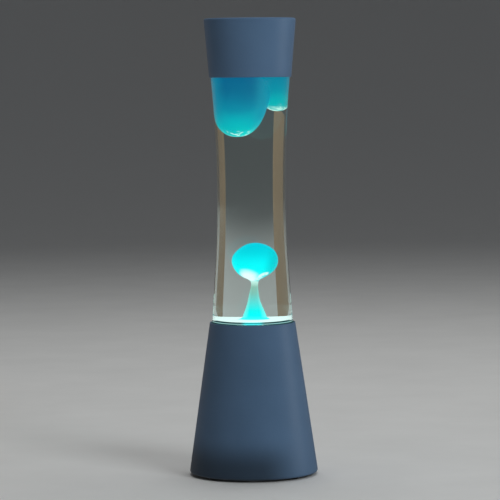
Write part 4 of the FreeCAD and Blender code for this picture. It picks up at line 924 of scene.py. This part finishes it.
def make_heating_coil():
    """The ring of wound wire that lies in the pool."""
    turns, steps = 64, 12
    ring, section, gauge = 19.5, 1.35, 0.35
    middle = BOTTLE_FLOOR + 1.9
    points = []
    for step in range(turns * steps):
        round_ring = TURN * step / (turns * steps)
        round_wire = TURN * step / steps
        reach = ring + section * math.cos(round_wire)
        points.append((reach * math.cos(round_ring), reach * math.sin(round_ring),
                       middle + section * math.sin(round_wire)))
    coil = wire("spring_coil", points, gauge, closed=True)
    coil.data.materials.append(brushed("coil_wire", (0.6, 0.58, 0.54, 1), 0.3, (1, 1, 1)))
    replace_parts(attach(coil, "bottle"), "heating_coil")


# ---------------------------------------------------------------- closure and cap


def make_crown():
    """A pressed crown cap with 21 flutes round its skirt."""
    low, high = heights("crown_cap")
    flutes, deepest, shoulder, run_out = 21, 0.45, high - 2, 3.5

    def fluted(radius, up, angle):
        depth = deepest * min(max((shoulder - up) / run_out, 0.0), 1.0)
        return radius + depth * math.cos(flutes * angle), up

    crown = lathe("fluted_crown", finer(outline([
        (0, high - 0.4), (13.6, high - 0.4), (13.6, shoulder), (15.2, low), (15.6, low),
        (14.0, shoulder), (14.0, high - 1), (13.0, high, 1.0, "left"), (0, high),
    ]), 0.8), around=252, warp=fluted)
    crown.data.materials.append(brushed("crown_metal", (0.62, 0.55, 0.36, 1), 0.28, (6, 1, 1)))
    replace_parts(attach(crown, "bottle"), "crown_cap")


def cap_radius(up):
    """The outer radius of the cap's cone at a height."""
    return CAP_RIM[0] + (up - CAP_RIM[1]) * (CAP_CROWN[0] - CAP_RIM[0]) / (CAP_CROWN[1] - CAP_RIM[1])


def make_cap(coat):
    """The inverted cone with its closed top and rounded hem."""
    crown, edge, hem, hem_round, inner_round = 1.2, 1.8, 0.35, CAP_WALL / 2 + 0.05, 0.8
    rim = CAP_RIM[0]
    under = CAP_TOP - crown
    shell = lathe("spun_cap", finer(outline([
        (rim - CAP_WALL, CAP_BOTTOM + hem),
        (rim - CAP_WALL / 2, CAP_BOTTOM, hem_round, "left"),
        (rim, CAP_BOTTOM + hem, hem_round, "left"),
        (cap_radius(CAP_TOP - edge), CAP_TOP - edge),
        (cap_radius(CAP_TOP - edge) - edge, CAP_TOP, edge, "left"),
        (0, CAP_TOP),
        (0, under),
        (cap_radius(under) - CAP_WALL - inner_round, under),
        (cap_radius(under) - CAP_WALL, under - inner_round, inner_round, "right"),
    ]), 8.0), around=224)
    shell.data.materials.append(coat)
    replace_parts(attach(shell, "cap"), "cap_shell")
    return shell


def make_felt():
    """A strip of pressed felt inside the cap: soft edges and a fibrous face."""
    made = Finish("felt")
    fibre = made.noise(1900.0, 4.0)
    tuft = made.noise(350.0, 3.0)
    tone = made.ramp(fibre, [(0.3, srgb(38, 39, 42)), (0.75, srgb(78, 80, 85))])
    hair = made.bump(made.math("ADD", fibre, tuft), 0.0003)
    inner, edge, bulge, clear_of_wall = 34.35, 0.4, 0.2, CAP_WALL + 0.02
    start, end = heights("cap_felt_ring")
    low, high = start + edge, end - edge

    def ruffled(radius, up, angle):
        return radius + 0.05 * math.sin(17 * angle) * math.sin(up), up + 0.12 * math.sin(11 * angle + up)

    ring = lathe("felt_strip", finer([
        (inner, low), (34.6, low - bulge), (cap_radius(low) - clear_of_wall, low),
        (cap_radius(high) - clear_of_wall, high), (34.7, high + bulge), (inner, high),
    ], 0.7), around=160, warp=ruffled)
    ring.data.materials.append(made.done(made.surface(
        Base_Color=tone, Roughness=0.95, Normal=hair, Sheen_Weight=0.4, Sheen_Roughness=0.5,
    )))
    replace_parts(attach(ring, "cap"), "cap_felt_ring")


def make_foam_pad():
    """A die-cut disc of closed-cell foam, pressed a little where the crown bears on it."""
    made = Finish("foam")
    cell = made.cells(1700.0)
    tone = made.ramp(cell, [(0.1, srgb(58, 59, 62)), (0.7, srgb(88, 90, 94))])
    low, high = heights("cap_pad")
    dent, edge, under_cap = low + 0.15, 0.7, high - 0.05
    pad = lathe("foam_pad", finer(outline([
        (0, dent), (12.5, dent), (15.5, low), (23.3, low), (24.0, low + edge, edge, "left"),
        (23.7, (low + high) / 2), (24.0, high - edge), (23.5, under_cap, edge, "left"), (0, under_cap),
    ]), 0.8), around=160)
    pad.data.materials.append(made.done(made.surface(
        Base_Color=tone, Roughness=0.9, Normal=made.bump(cell, 0.0002), Sheen_Weight=0.2,
    )))
    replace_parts(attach(pad, "cap"), "cap_pad")


# ---------------------------------------------------------------- bulb and holder


def make_bulb_glass():
    """The reflector envelope: mirrored flank, pearl face, and a neck that goes down into the cap."""
    made = Finish("bulb_glass")
    frost = made.noise(500.0)
    mirror = made.surface(
        Base_Color=srgb(214, 216, 218), Roughness=made.remap(frost, 0.3, 0.7, 0.12, 0.2), Metallic=1.0,
    )
    pearl = made.surface(
        Base_Color=srgb(240, 240, 236), Roughness=0.45, Transmission_Weight=0.3,
        Emission_Color=srgb(255, 240, 214), Emission_Strength=made.remap(frost, 0.3, 0.7, 1.7, 2.0),
    )
    top = heights("bulb_glass")[1]
    neck, flare, flank, belly, brow = top - 47.2, top - 41, top - 27, top - 13.5, top - 11
    on_face = made.remap(made.part(made.place, 2), belly * MM, (belly + 2) * MM, smooth=True)
    bulb = lathe("reflector_bulb", outline([
        (5.8, neck), (8.2, flare), (16.0, flank), (19.5, belly), (19.5, brow), (15.0, top - 1.5, 7.5, "left"),
        (0, top), (0, top - 0.7), (14.6, top - 2.2),
        (18.8, brow, 7.0, "right"), (18.8, belly), (15.3, flank + 0.3), (7.5, flare + 0.3), (5.1, neck),
    ]), around=96, sharp=math.radians(70))
    envelope = made.node("ShaderNodeMixShader", {0: on_face, 1: mirror, 2: pearl}).outputs[0]
    bulb.data.materials.append(made.done(envelope))
    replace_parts(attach(bulb, "bulb"), "bulb_glass")


def make_filament():
    """A coiled tungsten wire between the lead wires, glowing."""
    turns, steps, half, reach, gauge = 22, 10, 6.5, 0.34, 0.1
    height, deepest = sum(heights("bulb_filament")) / 2, 0.18
    points = []
    for step in range(turns * steps + 1):
        share = step / (turns * steps)
        angle = TURN * step / steps
        middle = height - deepest * 4 * share * (1 - share)
        points.append((half * (2 * share - 1), reach * math.cos(angle), middle + reach * math.sin(angle)))
    coil = wire("coiled_filament", points, gauge, sides=1)
    made = Finish("tungsten")
    heat = made.remap(made.noise(300.0), 0.3, 0.7, 9.0, 12.0)
    coil.data.materials.append(made.done(made.surface(
        Base_Color=(0.3, 0.29, 0.28, 1), Metallic=1.0, Roughness=0.4, Emission_Color=srgb(255, 214, 150),
        Emission_Strength=heat,
    )))
    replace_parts(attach(coil, "bulb"), "bulb_filament")


# ---------------------------------------------------------------- the CAD parts that stay


def dress_cad_parts():
    """Gives every CAD part that still shows its own finish."""
    steel = brushed("bare_steel", (0.56, 0.57, 0.58, 1), 0.32, (30, 1, 1))
    zinc = brushed("zinc_steel", (0.62, 0.63, 0.66, 1), 0.28, (1, 1, 4))
    tinned = brushed("tinned", (0.70, 0.70, 0.69, 1), 0.3, (4, 1, 1))
    brass = brushed("brass", (0.74, 0.52, 0.20, 1), 0.27, (1, 6, 1))
    aluminium = brushed("bulb_cap_metal", (0.78, 0.78, 0.79, 1), 0.22, (1, 1, 8))
    solder = solid("solder", (0.55, 0.55, 0.53, 1), 0.42, metallic=1.0, grain=600.0, depth=0.0001)
    moulded = solid("black_plastic", srgb(28, 28, 29), 0.55, grain=1100.0, depth=0.00006)
    rubber = solid("rubber", srgb(24, 24, 25), 0.8, grain=800.0, depth=0.00008, mottle=0.25)
    holder = solid("holder_moulding", srgb(222, 216, 202), 0.42, grain=900.0, depth=0.00003, mottle=0.05)
    nylon = solid("white_nylon", srgb(226, 226, 220), 0.4, grain=700.0, depth=0.00004, mottle=0.04)
    black_glass = solid("insulator_glass", srgb(20, 18, 22), 0.12, grain=300.0, depth=0.00005, coat=0.6)
    liner = solid("crown_liner", srgb(226, 226, 222), 0.5, grain=900.0, depth=0.00005, mottle=0.05)
    stem = solid("stem_glass", srgb(200, 214, 212), 0.12, grain=200.0, depth=0.00003, mottle=0.05, coat=0.8)
    brown = solid("wire_brown", srgb(96, 58, 36), 0.35, patches=200.0, coat=0.2)
    blue = solid("wire_blue", srgb(36, 82, 170), 0.35, patches=200.0, coat=0.2)
    green = striped_wire()
    finishes = {
        steel: ["holder_bracket", "shell_lugs", "cord_clamp"],
        zinc: [
            "cover_screws", "bracket_screws", "block_fixing_screw", "cord_clamp_screws", "holder_nipple",
            "nipple_nut",
        ],
        tinned: ["earth_tag", "bulb_leads"],
        brass: [
            "terminal_tubes", "terminal_screws", "holder_terminals", "centre_contact", "lampholder_sleeve",
            "earth_screw",
        ],
        aluminium: ["bulb_cap"],
        solder: ["bulb_contact"],
        moulded: ["bottom_cover"],
        rubber: ["foot_1", "foot_2", "foot_3", "foot_4", "cable_grommet"],
        holder: ["lampholder_body"],
        nylon: ["terminal_block"],
        black_glass: ["bulb_insulator"],
        liner: ["crown_liner"],
        stem: ["bulb_stem"],
        brown: ["wire_live"],
        blue: ["wire_neutral"],
        green: ["wire_earth"],
    }
    for material, names in finishes.items():
        for name in names:
            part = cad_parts[name]
            part.data.materials.clear()
            part.data.materials.append(material)


def striped_wire():
    """Green sheath with a yellow stripe, as an earth wire has."""
    made = Finish("wire_green")
    across = made.part(made.place, 0)
    stripe = made.remap(made.math("SINE", made.times(across, 1500.0)), 0.2, 0.35)
    tone = made.mixed(stripe, srgb(52, 122, 48), srgb(214, 190, 54))
    return made.done(made.surface(
        Base_Color=tone, Roughness=made.remap(made.noise(200.0), 0.3, 0.7, 0.3, 0.42), Coat_Weight=0.2,
        Normal=made.bump(made.noise(900.0), 0.00003),
    ))


# ---------------------------------------------------------------- the whole picture

bpy.context.scene.view_settings.view_transform = "Standard"
bpy.context.scene.view_settings.look = "None"
make_camera()
make_floor()
make_flags()
make_light()

base = make_base_shell(paint("base_paint", srgb(76, 104, 134), srgb(82, 111, 142), painted_foot_shade=True))
make_gasket()
make_bottle(clear("bottle_glass", 1.5, (0.97, 0.99, 0.985, 1)))
make_liquid(clear("liquid", 1.38, (0.985, 1.0, 0.995, 1)))
make_wax_column()
make_top_wax()
make_heating_coil()
make_crown()
# The cap's coat is a slightly lighter copy of the base's paint: painted light for the extra light the cap
# gets.
cap = make_cap(paint("cap_paint", srgb(80, 108, 139), srgb(86, 116, 148)))
make_side_strip([base, cap])
make_felt()
make_foam_pad()
make_bulb_glass()
make_filament()
dress_cad_parts()
